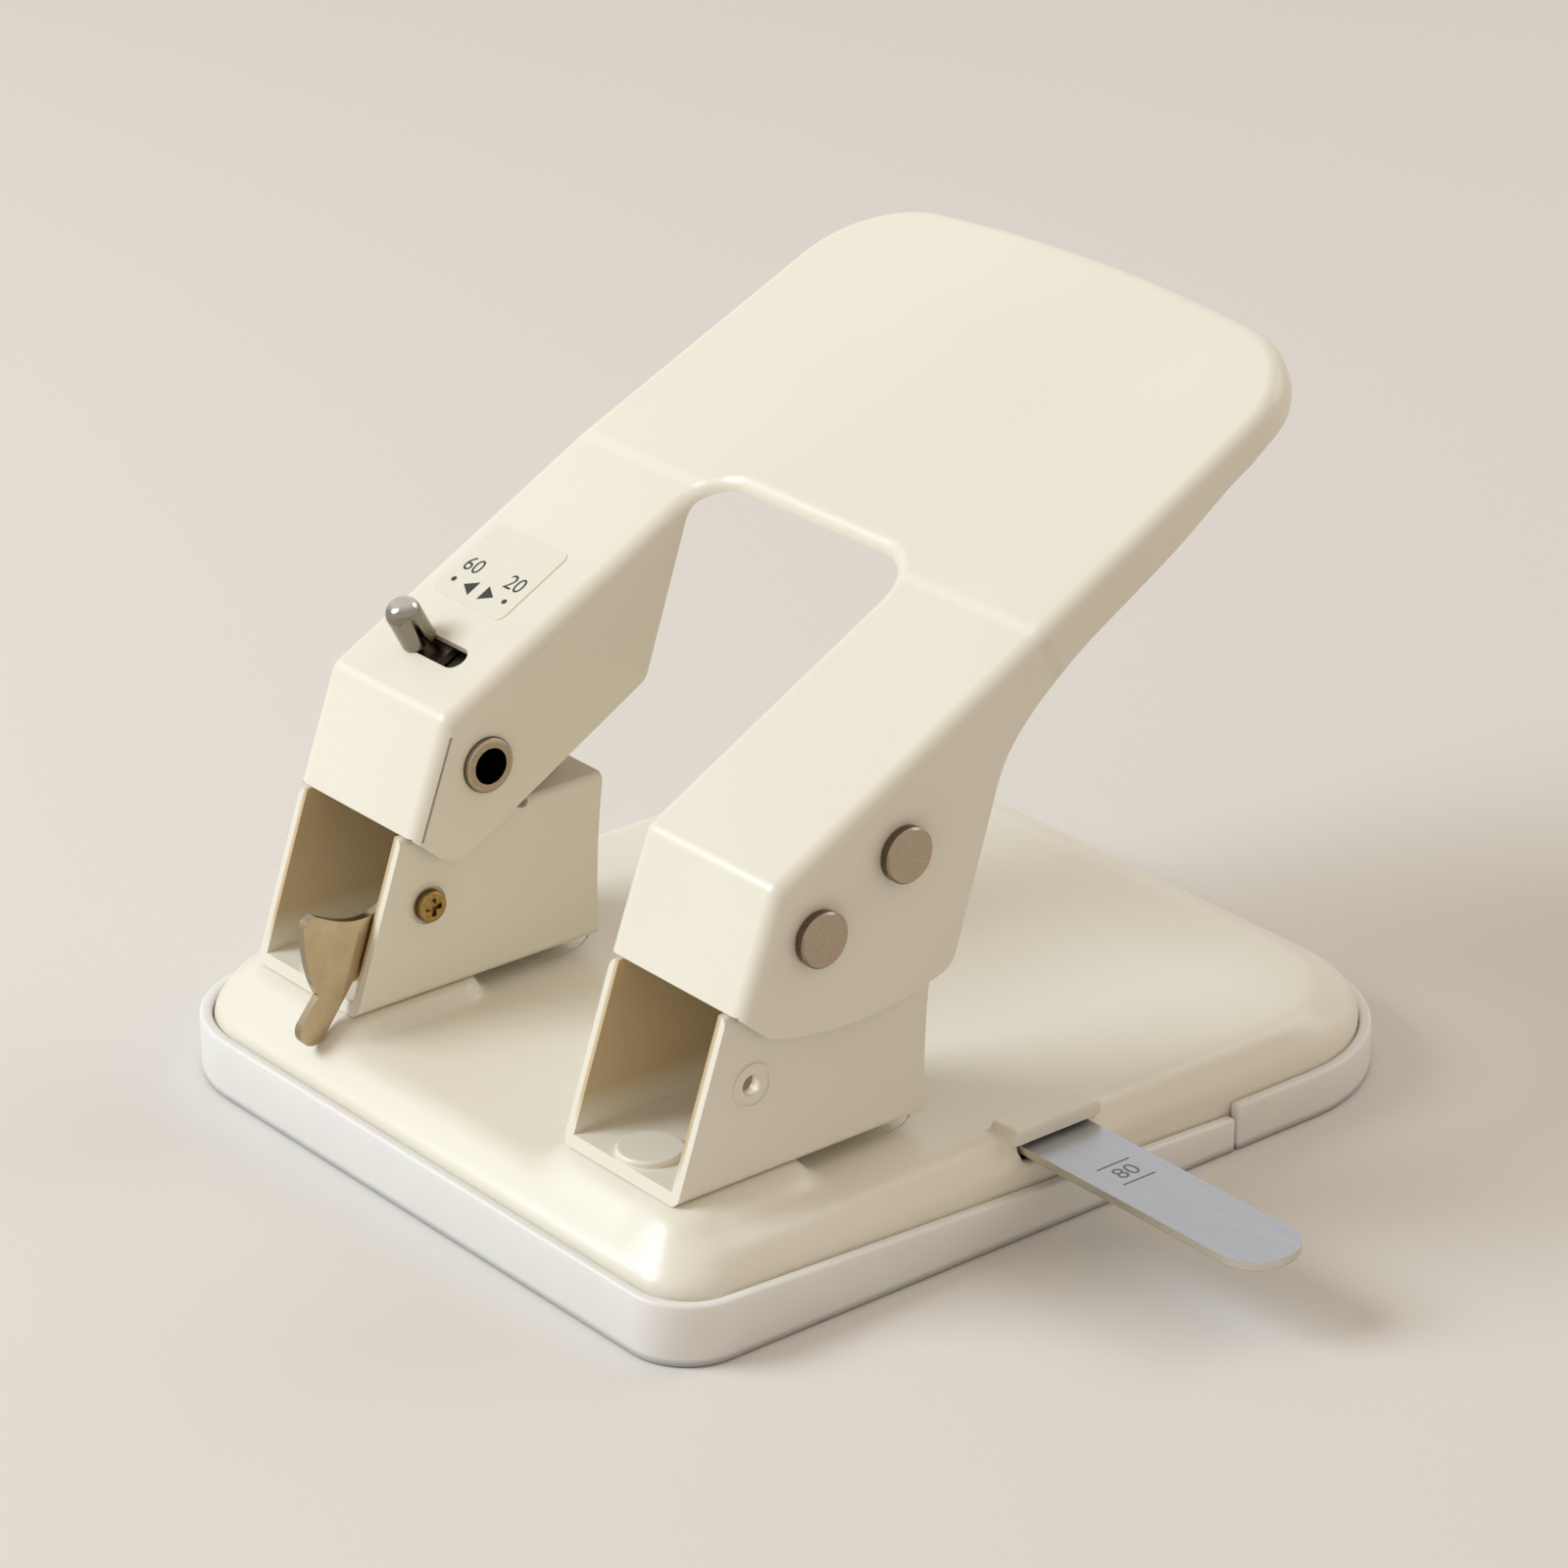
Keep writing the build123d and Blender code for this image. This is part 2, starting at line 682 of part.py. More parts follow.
rim_points = [under_palm(run, depth) for run, depth in rim_foot]
rim_points.append(under_palm(rim_rear_start, rim_rear_depth))
rim_tail = under_palm(palm_length + overrun, rim_rear_depth)
palm_tail = under_palm(palm_length + overrun, 0)
inner_edge_start = (inner_edge_back, land_z + inner_edge_rise)
inner_wall_low = (inner_wall_rear[0], land_z + inner_wall_rear[1])
inner_foot = crossing(inner_edge_start, inner_edge_slope, inner_wall_low, inner_wall_lean)
lip_start = under_palm(0, window_lip)
inner_head = crossing(inner_wall_low, inner_wall_lean, lip_start, palm_slope)
lip_end = along(lip_start, palm_slope, (lip_rear - lip_start[0]) / cos(radians(palm_slope)))
slit_low = along(nose, front_lean - 90, handle_sheet)
slit_top = crossing(slit_low, front_lean, (0, land_z + slit_top_rise), 0)
stop_x = gauge_guide_inner - stop_diameter / 2 - gauge_gap
selector_x = -head_pitch / 2 - selector_offset + selector_travel / 2
selector_top = crease[1] - (crease_back - selector_back) * tan(radians(arm_slope))
selector_plane = Plane(origin=(selector_x, front_y + selector_back, selector_top), x_dir=(1, 0, 0),
                       z_dir=arm_up)

with BuildPart() as hollow:
    with BuildSketch(side_plane(handle_sheet - arm_outer)):
        with BuildLine():
            Polyline((0, cavity_floor), (0, nose[1]), inner_nose, inner_brow, inner_crease, inner_end,
                     (inner_end[0], cavity_floor), close=True)
        make_face()
    extrude(amount=2 * (arm_outer - handle_sheet))
    extrude(palm_outline(handle_sheet, handle_sheet, handle_sheet), amount=-palm_length)
    extrude(window_outline(handle_sheet), amount=2 * crease[1], mode=Mode.SUBTRACT)
    fillet(rolled_edges(hollow), radius=edge_roll - handle_sheet)

with BuildPart() as handle:
    with BuildSketch(side_plane(-arm_outer - overrun)) as arm_side:
        with BuildLine():
            Polyline(rim_tail, palm_tail, crease, brow, nose, chin)
            ThreePointArc(chin, belly, heel)
            Line(heel, rim_points[0])
            Spline(*rim_points, rim_tail, tangents=((cos(radians(heel_lean)), sin(radians(heel_lean))),
                                                    (cos(radians(palm_slope)), sin(radians(palm_slope)))))
        make_face()
        fillet(arm_side.vertices().sort_by_distance(Vector(*heel))[0], radius=heel_corner)
        fillet(arm_side.vertices().sort_by_distance(Vector(*chin))[0], radius=chin_corner)
    extrude(amount=2 * (arm_outer + overrun))
    extrude(palm_outline(-overrun, 0, -2 * palm_length), amount=-palm_length, mode=Mode.INTERSECT)
    extrude(window_outline(0), amount=2 * crease[1], mode=Mode.SUBTRACT)
    fillet(rolled_edges(handle), radius=edge_roll)
    add(hollow.part, mode=Mode.SUBTRACT)
    with BuildSketch(side_plane(-arm_inner - handle_sheet)) as trim:
        with BuildLine():
            Polyline(inner_edge_start, inner_foot, inner_head, lip_end, (lip_end[0], cavity_floor),
                     (inner_edge_start[0], cavity_floor), close=True)
        make_face()
        fillet(trim.vertices().sort_by_distance(Vector(*inner_foot))[0], radius=inner_foot_corner)
        fillet(trim.vertices().sort_by_distance(Vector(*inner_head))[0], radius=inner_head_corner)
    extrude(amount=2 * (arm_inner + handle_sheet), mode=Mode.SUBTRACT)
    with BuildSketch(side_plane(-arm_inner - handle_sheet)):
        with BuildLine():
            Polyline(slit_low, slit_top, along(slit_top, 0, slit_width), along(slit_low, 0, slit_width),
                     close=True)
        make_face()
    extrude(amount=2 * (arm_inner + handle_sheet), mode=Mode.SUBTRACT)
    for x in heads.values():
        outward = 1 if x > 0 else -1
        with BuildSketch(Plane.YZ.offset(x - arm_half)):
            with Locations((pivot_y, pivot_z)):
                Circle(pivot_pin / 2 + rivet_gap)
        extrude(amount=2 * arm_half, mode=Mode.SUBTRACT)
        with BuildSketch(Plane.YZ.offset(x)):
            with Locations((drive_y, drive_z)):
                Circle(drive_pin / 2 + rivet_gap)
        extrude(amount=outward * (arm_half + overrun), mode=Mode.SUBTRACT)
    with BuildSketch(selector_plane):
        SlotCenterToCenter(selector_travel + slot_spare, slot_width)
    extrude(amount=2 * handle_sheet, both=True, mode=Mode.SUBTRACT)
save(handle, "handle")

# Pivot rivets and drive pins: flat heads outside, the pivots rolled over into eyelets inside
for side, x in heads.items():
    outward = 1 if x > 0 else -1
    outer_face = x + outward * arm_half
    inner_face = x - outward * arm_half

    with BuildPart() as pivot_rivet:
        with BuildSketch(Plane.YZ.offset(outer_face)):
            with Locations((pivot_y, pivot_z)):
                Circle(pin_head / 2)
        extrude(amount=outward * pin_head_height)
        chamfer(pivot_rivet.edges().filter_by(GeomType.CIRCLE), length=pin_head_chamfer)
        with BuildSketch(Plane.YZ.offset(inner_face)):
            with Locations((pivot_y, pivot_z)):
                Circle(pivot_pin / 2)
        extrude(amount=outward * 2 * arm_half)
        with BuildSketch(Plane.YZ.offset(inner_face)):
            with Locations((pivot_y, pivot_z)):
                Circle(eyelet_roll / 2)
        extrude(amount=-outward * eyelet_height)
        rolled = pivot_rivet.edges().filter_by(GeomType.CIRCLE).sort_by(
            lambda edge: abs(edge.center().X - inner_face + outward * eyelet_height))[0]
        fillet(rolled, radius=eyelet_height * eyelet_round_share)
        with BuildSketch(Plane.YZ.offset(inner_face - outward * eyelet_height)):
            with Locations((pivot_y, pivot_z)):
                Circle(pivot_bore / 2)
        extrude(amount=outward * (arm_half + eyelet_height), mode=Mode.SUBTRACT)
    save(pivot_rivet, f"pivot_rivet_{side}")

    with BuildPart() as drive_pin_piece:
        with BuildSketch(Plane.YZ.offset(outer_face)):
            with Locations((drive_y, drive_z)):
                Circle(pin_head / 2)
        extrude(amount=outward * pin_head_height)
        chamfer(drive_pin_piece.edges().filter_by(GeomType.CIRCLE), length=pin_head_chamfer)
        with BuildSketch(Plane.YZ.offset(x - outward * drive_pin_reach)):
            with Locations((drive_y, drive_z)):
                Circle(drive_pin / 2)
        extrude(amount=outward * (arm_half + drive_pin_reach))
    save(drive_pin_piece, f"drive_pin_{side}")


# Selector: a domed knob through the left arm's slot, on a plate that slides in a channel
knob_start = -selector_travel / 2
skin_under = -handle_sheet
slide_top = skin_under - slide_gap
slide_bottom = slide_top - slide_sheet
channel_bottom = slide_bottom - channel_gap

with BuildPart() as selector_knob:
    with BuildSketch(Plane(origin=selector_plane.origin + arm_up * slide_top, x_dir=(1, 0, 0),
                           z_dir=arm_up)):
        with Locations((knob_start, 0)):
            Circle(knob_neck / 2)
    extrude(amount=slide_gap - slide_top)
    with BuildSketch(Plane(origin=selector_plane.origin + arm_up * slide_gap, x_dir=(1, 0, 0),
                           z_dir=arm_up)):
        with Locations((knob_start, 0)):
            Circle(knob_diameter / 2)
    extrude(amount=knob_height - slide_gap)
    fillet(selector_knob.faces().sort_by(lambda face: face.center().dot(arm_up))[-1].edges(),
           radius=knob_crown)
save(selector_knob, "selector_knob")

with BuildPart() as selector_slide:
    with BuildSketch(Plane(origin=selector_plane.origin + arm_up * slide_bottom, x_dir=(1, 0, 0),
                           z_dir=arm_up)):
        with Locations((knob_start, 0)):
            RectangleRounded(slide_length, slide_depth, slide_sheet)
    extrude(amount=slide_sheet)
save(selector_slide, "selector_slide")

with BuildPart() as selector_guide:
    with BuildSketch(Plane(origin=selector_plane.origin + arm_up * (channel_bottom - guide_sheet),
                           x_dir=(1, 0, 0), z_dir=arm_up)):
        Rectangle(guide_length, slide_depth + 2 * (channel_gap + guide_rail))
    extrude(amount=skin_under - channel_bottom + guide_sheet)
    with BuildSketch(Plane(origin=selector_plane.origin + arm_up * channel_bottom, x_dir=(1, 0, 0),
                           z_dir=arm_up)):
        Rectangle(guide_length, slide_depth + 2 * channel_gap)
    extrude(amount=skin_under - channel_bottom, mode=Mode.SUBTRACT)
save(selector_guide, "selector_guide")

with BuildPart() as selector_label:
    with BuildSketch(selector_plane):
        with Locations((0, label_run)):
            RectangleRounded(label_width, label_depth, label_corner)
    extrude(amount=label_sheet)
save(selector_label, "selector_label")

# Lock lever inside the left frame, on a screw through the frame's wall
wall_outer = heads["left"] + frame_half
wall_inner = wall_outer - frame_sheet
lever_outer = wall_inner - lever_washer


def at_lock(point):
    """A lever point, given from the screw's axis, in the side plane's own axes."""
    return (lock_hole_back + point[0], land_z + lock_hole_rise + point[1])


with BuildPart() as lock_lever:
    with BuildSketch(side_plane(lever_outer)):
        with BuildLine():
            Line(at_lock((0, lever_eye)), at_lock(lever_top[-1]))
            Spline(*[at_lock(point) for point in reversed(lever_top)])
            ThreePointArc(at_lock(lever_top[0]), at_lock(lever_horn), at_lock(lever_cheek[0]))
            Spline(*[at_lock(point) for point in lever_cheek])
            Line(at_lock(lever_cheek[-1]), at_lock(lever_tab_front))
            ThreePointArc(at_lock(lever_tab_front), at_lock(lever_tab_tip), at_lock(lever_tab_back))
            Polyline(at_lock(lever_tab_back), at_lock(lever_heel), at_lock((0, -lever_eye)),
                     at_lock((0, lever_eye)))
        make_face()
        with Locations(at_lock((0, 0))):
            Circle(lever_eye)
            Circle(screw_shank / 2 + pin_gap, mode=Mode.SUBTRACT)
    extrude(amount=-lever_sheet)
save(lock_lever, "lock_lever")

with BuildPart() as lock_washer:
    with BuildSketch(Plane.YZ.offset(wall_inner)):
        with Locations((lock_hole_y, lock_hole_z)):
            Circle(nut_width / 2)
            Circle(screw_shank / 2 + rivet_gap, mode=Mode.SUBTRACT)
    extrude(amount=-lever_washer)
save(lock_washer, "lock_washer")

nut_face = lever_outer - lever_sheet - spring_seat_gap
with BuildPart() as lock_nut:
    with BuildSketch(Plane.YZ.offset(nut_face)):
        with Locations((lock_hole_y, lock_hole_z)):
            RegularPolygon(nut_width / 2, 6, major_radius=False)
            Circle(screw_shank / 2 + rivet_gap, mode=Mode.SUBTRACT)
    extrude(amount=-nut_height)
save(lock_nut, "lock_nut")

with BuildPart() as lock_screw:
    with BuildSketch(Plane.YZ.offset(wall_outer + coin_ring_height)):
        with Locations((lock_hole_y, lock_hole_z)):
            Circle(screw_head / 2)
    extrude(amount=screw_head_height)
    fillet(lock_screw.edges().filter_by(GeomType.CIRCLE).sort_by(Axis.X)[-1],
           radius=screw_head_height / 2)
    with BuildSketch(Plane.YZ.offset(nut_face - nut_height)):
        with Locations((lock_hole_y, lock_hole_z)):
            Circle(screw_shank / 2)
    extrude(amount=wall_outer + coin_ring_height - nut_face + nut_height)
    with BuildSketch(Plane.YZ.offset(wall_outer + coin_ring_height + screw_head_height)):
        with Locations((lock_hole_y, lock_hole_z)):
            Rectangle(screw_cross, screw_slot)
            Rectangle(screw_slot, screw_cross)
    extrude(amount=-screw_slot_depth, mode=Mode.SUBTRACT)
save(lock_screw, "lock_screw")

# Paper gauge: a steel bar that slides in a channel under the deck, with a stop and a leaf spring
with BuildPart() as gauge_bar:
    with BuildSketch(Plane.XY.offset(gauge_bottom)) as bar_outline:
        with Locations(((gauge_inner + gauge_reach) / 2, gauge_mid)):
            Rectangle(gauge_reach - gauge_inner, gauge_width)
        fillet(bar_outline.vertices().group_by(Axis.X)[-1], radius=gauge_corner)
        with Locations((stop_x, gauge_mid)):
            Circle(stop_diameter / 2 + rivet_gap, mode=Mode.SUBTRACT)
    extrude(amount=gauge_sheet)
    fillet(gauge_bar.faces().sort_by(Axis.Z)[0].outer_wire().edges(), radius=gauge_edge_round)
save(gauge_bar, "gauge_bar")

with BuildPart() as gauge_stop:
    with BuildSketch(Plane.XY.offset(gauge_bottom - stop_drop)):
        with Locations((stop_x, gauge_mid)):
            Circle(stop_diameter / 2)
    extrude(amount=gauge_sheet + stop_drop)
    chamfer(gauge_stop.edges().group_by(Axis.Z)[0], length=gauge_edge_round)
save(gauge_stop, "gauge_stop")

channel_mid = (gauge_guide_outer + gauge_guide_inner) / 2
channel_z = gauge_bottom - gauge_gap
deck_under = deck_height - base_sheet
with BuildPart() as gauge_guide:
    with BuildSketch(Plane.XY.offset(channel_z - gauge_floor)):
        with Locations((channel_mid, gauge_mid)):
            Rectangle(gauge_guide_run, gauge_width + 2 * (gauge_gap + gauge_rail))
    extrude(amount=deck_under - channel_z + gauge_floor)
    with BuildSketch(Plane.XY.offset(channel_z)):
        with Locations((channel_mid, gauge_mid)):
            Rectangle(gauge_guide_run, gauge_width + 2 * gauge_gap)
    extrude(amount=deck_under - channel_z, mode=Mode.SUBTRACT)
    with BuildSketch(Plane.XY.offset(channel_z)):
        with Locations((channel_mid, gauge_mid)):
            Rectangle(spring_leaf_run + 2 * gauge_gap, spring_leaf_width + 2 * gauge_gap)
    extrude(amount=-gauge_floor, mode=Mode.SUBTRACT)
save(gauge_guide, "gauge_guide")

leaf_z = channel_z - gauge_floor
leaf_crown = gauge_bottom - spring_leaf_gap
leaf_start = channel_mid + spring_leaf_run / 2
leaf_end = channel_mid - spring_leaf_run / 2
with BuildPart() as gauge_spring:
    with BuildSketch(Plane(origin=(0, gauge_mid - spring_leaf_width / 2, 0), x_dir=(1, 0, 0),
                           z_dir=(0, -1, 0))):
        with BuildLine():
            Line((leaf_start + leaf_tab, leaf_z), (leaf_start, leaf_z))
            ThreePointArc((leaf_start, leaf_z), (channel_mid, leaf_crown), (leaf_end, leaf_z))
            Line((leaf_end, leaf_z), (leaf_end, leaf_z - spring_leaf))
            ThreePointArc((leaf_end, leaf_z - spring_leaf), (channel_mid, leaf_crown - spring_leaf),
                          (leaf_start, leaf_z - spring_leaf))
            Line((leaf_start, leaf_z - spring_leaf), (leaf_start + leaf_tab, leaf_z - spring_leaf))
            Line((leaf_start + leaf_tab, leaf_z - spring_leaf), (leaf_start + leaf_tab, leaf_z))
        make_face()
    extrude(amount=-spring_leaf_width)
save(gauge_spring, "gauge_spring")
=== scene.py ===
# %% [markdown]
# # A desk punch in cream enamel
#
# This lesson dresses a finished CAD model of a desk punch. The model comes in as a frame of
# separate parts, each in its real place, in metres: X runs along the front edge, Y to the rear
# and Z up from the table. We never move those parts. We give them real finishes, let copies stand
# for a few that need softer shapes, and add the small marks that a drawing office would leave to
# the printer and the stamping press.

from math import cos, radians, sin

import bpy
from mathutils import Matrix, Vector


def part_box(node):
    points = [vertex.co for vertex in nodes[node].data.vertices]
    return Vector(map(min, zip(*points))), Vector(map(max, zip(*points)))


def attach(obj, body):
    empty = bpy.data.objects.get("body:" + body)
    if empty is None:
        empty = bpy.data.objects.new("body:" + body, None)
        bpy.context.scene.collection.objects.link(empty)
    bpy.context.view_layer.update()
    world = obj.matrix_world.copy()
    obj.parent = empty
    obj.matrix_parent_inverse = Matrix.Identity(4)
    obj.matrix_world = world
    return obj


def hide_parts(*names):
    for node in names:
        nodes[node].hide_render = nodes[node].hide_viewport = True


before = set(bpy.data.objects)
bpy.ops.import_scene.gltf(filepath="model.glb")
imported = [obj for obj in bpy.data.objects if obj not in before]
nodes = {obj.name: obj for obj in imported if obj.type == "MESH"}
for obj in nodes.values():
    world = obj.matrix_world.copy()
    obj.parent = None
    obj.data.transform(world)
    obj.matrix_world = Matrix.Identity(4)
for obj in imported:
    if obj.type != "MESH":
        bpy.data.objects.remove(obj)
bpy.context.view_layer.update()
scene = bpy.context.scene
MM = 0.001

# %% [markdown]
# ## The camera
#
# A photograph fixes where its camera stood. Here the camera stands at the front right, 24 degrees
# above the table, about 84 cm from a point in the middle of the punch, with a long lens. A long
# lens keeps parallel edges nearly parallel, which is why product photographs use one.

# %% Camera
CAMERA_PLACE = Vector((0.60985, -0.50135, 0.40303))
AZIMUTH, ELEVATION, ROLL = radians(50.73), radians(24.06), radians(-0.24)
LENS_MM, SENSOR_MM = 126.81, 36
SHIFT_X, SHIFT_Y = 0.0025, -0.00875
NEAREST, FARTHEST = 0.05, 20

back = Vector((sin(AZIMUTH) * cos(ELEVATION), -cos(AZIMUTH) * cos(ELEVATION), sin(ELEVATION)))
level_right = Vector((cos(AZIMUTH), sin(AZIMUTH), 0))
level_up = back.cross(level_right)
right = level_right * cos(ROLL) + level_up * sin(ROLL)
up = level_up * cos(ROLL) - level_right * sin(ROLL)

camera_data = bpy.data.cameras.new("photo_camera")
camera_data.lens = LENS_MM
camera_data.sensor_width = SENSOR_MM
camera_data.shift_x, camera_data.shift_y = SHIFT_X, SHIFT_Y
camera_data.clip_start, camera_data.clip_end = NEAREST, FARTHEST
camera = bpy.data.objects.new("photo_camera", camera_data)
camera.matrix_world = Matrix((
    (right.x, up.x, back.x, CAMERA_PLACE.x),
    (right.y, up.y, back.y, CAMERA_PLACE.y),
    (right.z, up.z, back.z, CAMERA_PLACE.z),
    (0, 0, 0, 1),
))
scene.collection.objects.link(camera)
scene.camera = camera
print("camera back direction", [round(v, 3) for v in back])

# %% [markdown]
# ## Lamps
#
# Enamel shows its colour best in broad, even light. One large lamp at the front left gives the
# fronts and the tops their brightness, and a weak one lights the rear. The lamps are large because
# small ones would leave hard, distracting shadows. They are a little cool, as daylight is, so that
# the tops look neutral.

# %% Lamps
LAMP_AIM = Vector((0, 0, 0.05))
LAMPS = {
    # name: place, size in metres, watts, colour
    "key_softbox": ((-0.75, -1.05, 1.05), 0.9, 19.6, (0.81, 0.91, 1.0)),
    "rear_softbox": ((0.2, 1.1, 0.9), 0.8, 3.0, (0.9, 0.95, 1.0)),
}
for name, (place, size, watts, colour) in LAMPS.items():
    lamp = bpy.data.lights.new(name, "AREA")
    lamp.shape = "DISK"
    lamp.size = size
    lamp.energy = watts
    lamp.color = colour
    holder = bpy.data.objects.new(name, lamp)
    holder.location = place
    holder.rotation_euler = (LAMP_AIM - Vector(place)).to_track_quat("-Z", "Y").to_euler()
    scene.collection.objects.link(holder)

# %% [markdown]
# ## Building with nodes
#
# A finish is a small network of nodes. Painters and printers write colours as hex pairs, which are
# sRGB values, while a shader wants linear light, so one function turns the one into the other. The
# other helpers each add one kind of node, so that a finish below reads as a short recipe.

# %% Node helpers
def hex_colour(code):
    """An sRGB hex code as a linear colour with full alpha."""
    values = [int(code[i:i + 2], 16) / 255 for i in (1, 3, 5)]
    linear = [v / 12.92 if v <= 0.04045 else ((v + 0.055) / 1.055) ** 2.4 for v in values]
    return (*linear, 1)


def add_node(tree, kind, values=None, links=None):
    """Add one node, set its values, and link sockets into its inputs."""
    node = tree.nodes.new(kind)
    for name, value in (values or {}).items():
        if isinstance(name, int) or name in node.inputs:
            node.inputs[name].default_value = value
        else:
            setattr(node, name, value)
    for name, socket in (links or {}).items():
        tree.links.new(socket, node.inputs[name])
    return node


def add_math(tree, operation, *terms):
    """One calculation on terms that are sockets or plain numbers."""
    node = add_node(tree, "ShaderNodeMath", {"operation": operation})
    for index, term in enumerate(terms):
        if isinstance(term, (int, float)):
            node.inputs[index].default_value = term
        else:
            tree.links.new(term, node.inputs[index])
    return node.outputs[0]


def add_noise(tree, place, scale, detail, roughness=0.5):
    """Cloudy noise over a place."""
    return add_node(tree, "ShaderNodeTexNoise",
                    {"Scale": scale, "Detail": detail, "Roughness": roughness}, {"Vector": place})


def add_map(tree, value, low, high, new_low, new_high, kind="LINEAR"):
    """A value carried over from one range to another."""
    node = add_node(tree, "ShaderNodeMapRange",
                    {"interpolation_type": kind, "From Min": low, "From Max": high,
                     "To Min": new_low, "To Max": new_high}, {"Value": value})
    return node.outputs[0]


def add_ramp(tree, factor, *stops):
    """A colour ramp through stops of a position and a hex code, in rising order."""
    node = add_node(tree, "ShaderNodeValToRGB", None, {"Fac": factor})
    elements = node.color_ramp.elements
    for element, (position, code) in zip(elements, (stops[0], stops[-1])):
        element.position = position
        element.color = hex_colour(code)
    for position, code in stops[1:-1]:
        elements.new(position).color = hex_colour(code)
    return node.outputs["Color"]


def add_mask(tree, mask, under, code):
    """One colour under another, which shows where the mask is 1."""
    node = add_node(tree, "ShaderNodeMix", {"data_type": "RGBA", 7: hex_colour(code)}, {0: mask, 6: under})
    return node.outputs[2]


def add_bump(tree, height, strength, distance):
    """A normal that follows a height."""
    node = add_node(tree, "ShaderNodeBump", {"Strength": strength, "Distance": distance}, {"Height": height})
    return node.outputs["Normal"]


def feed(tree, shader, colour, roughness=None, normal=None):
    """Link a finish's colour, roughness and normal into its shader."""
    for name, socket in (("Base Color", colour), ("Roughness", roughness), ("Normal", normal)):
        if socket:
            tree.links.new(socket, shader.inputs[name])


def new_finish(name):
    """An empty material with its shader and output, and the part's own coordinates."""
    material = bpy.data.materials.new(name)
    material.use_nodes = True
    tree = material.node_tree
    tree.nodes.clear()
    shader = add_node(tree, "ShaderNodeBsdfPrincipled")
    add_node(tree, "ShaderNodeOutputMaterial", None, {"Surface": shader.outputs["BSDF"]})
    place = add_node(tree, "ShaderNodeTexCoord").outputs["Object"]
    return material, tree, shader, place


def per_mm(size):
    """The texture scale whose features are about this many millimetres across."""
    return 1 / (size * MM)


print("middle grey is", [round(v, 3) for v in hex_colour("#808080")])

# %% [markdown]
# ## The world
#
# A dim, warm world fills the sides that face away from the lamps, as a wooden room does, and turns
# them the deeper cream that the photograph has. To the camera and in reflections the world is
# brighter and nearly white, so that the metals have something pale to mirror.

# %% World
FILL_COLOUR, FILL_STRENGTH = (1.0, 0.84, 0.68, 1), 0.55
SEEN_COLOUR, SEEN_STRENGTH = (0.93, 0.93, 0.93, 1), 1.0

world = bpy.data.worlds.new("studio")
scene.world = world
world.use_nodes = True
sky = world.node_tree
sky.nodes.clear()
path = add_node(sky, "ShaderNodeLightPath")
fill = add_node(sky, "ShaderNodeBackground", {"Color": FILL_COLOUR, "Strength": FILL_STRENGTH})
pale = add_node(sky, "ShaderNodeBackground", {"Color": SEEN_COLOUR, "Strength": SEEN_STRENGTH})
seen = add_math(sky, "MAXIMUM", path.outputs["Is Camera Ray"], path.outputs["Is Glossy Ray"])
seen = add_math(sky, "MAXIMUM", seen, path.outputs["Is Transmission Ray"])
mixed = add_node(sky, "ShaderNodeMixShader", None, {0: seen, 1: fill.outputs[0], 2: pale.outputs[0]})
add_node(sky, "ShaderNodeOutputWorld", None, {"Surface": mixed.outputs[0]})
scene.view_settings.view_transform = "Standard"
print("view transform", scene.view_settings.view_transform)

# %% [markdown]
# ## Baked cream enamel
#
# The base, the head frames and the handle are sheet steel, sprayed with enamel and baked. Baked
# enamel is smooth but never flat: it draws together into a faint orange peel, about 1.5 mm from
# crest to crest. Its colour drifts a little over a hand's breadth where the coat is thicker. We
# use a dielectric shader with a thin clear coat, two noises for the drift of colour and gloss, and
# one fine noise as bump for the peel.

# %% Enamel
ENAMEL_DARK, ENAMEL_LIGHT = "#E6E1D1", "#EAE6D7"
ENAMEL_ROUGHNESS = (0.32, 0.40)
DRIFT_SIZE, GLOSS_SIZE, PEEL_SIZE = 60, 18, 1.5
PEEL_DEPTH, PEEL_STRENGTH = 0.2 * MM, 0.06
NOISE_LOW, NOISE_HIGH = 0.3, 0.7


def enamel_finish(name):
    """Baked enamel: returns its material, tree, shader, place, colour and peel."""
    material, tree, shader, place = new_finish(name)
    drift = add_noise(tree, place, per_mm(DRIFT_SIZE), 2, 0.4)
    tone = add_ramp(tree, drift.outputs["Fac"], (0.35, ENAMEL_DARK), (0.65, ENAMEL_LIGHT))
    gloss = add_noise(tree, place, per_mm(GLOSS_SIZE), 3)
    rough = add_map(tree, gloss.outputs["Fac"], NOISE_LOW, NOISE_HIGH, *ENAMEL_ROUGHNESS)
    peel = add_noise(tree, place, per_mm(PEEL_SIZE), 2)
    bump = add_bump(tree, peel.outputs["Fac"], PEEL_STRENGTH, PEEL_DEPTH)
    feed(tree, shader, tone, rough, bump)
    shader.inputs["IOR"].default_value = 1.5
    shader.inputs["Coat Weight"].default_value = 0.2
    shader.inputs["Coat Roughness"].default_value = 0.15
    return material, tree, shader, place, tone, bump


enamel = enamel_finish("baked_cream_enamel")[0]
print("enamel", enamel.name)

# %% [markdown]
# ## The step across the handle
#
# The palm plate was pressed about half a millimetre proud of the two arms. The press left a soft
# step across the handle in line with the rear of the window, which catches the light as a thin
# line. It is less than half as high as the sheet is thick, so the handle gets the same enamel with
# one more bump: its height rises over about three millimetres at the step, which we find by how
# far a point lies up the palm plate.

# %% Handle enamel
CREASE_Y, CREASE_Z = 1.15 * MM, 91.0 * MM
PALM_SLOPE = radians(26)
STEP_REACH, STEP_HEIGHT = 1.6 * MM, 0.55 * MM

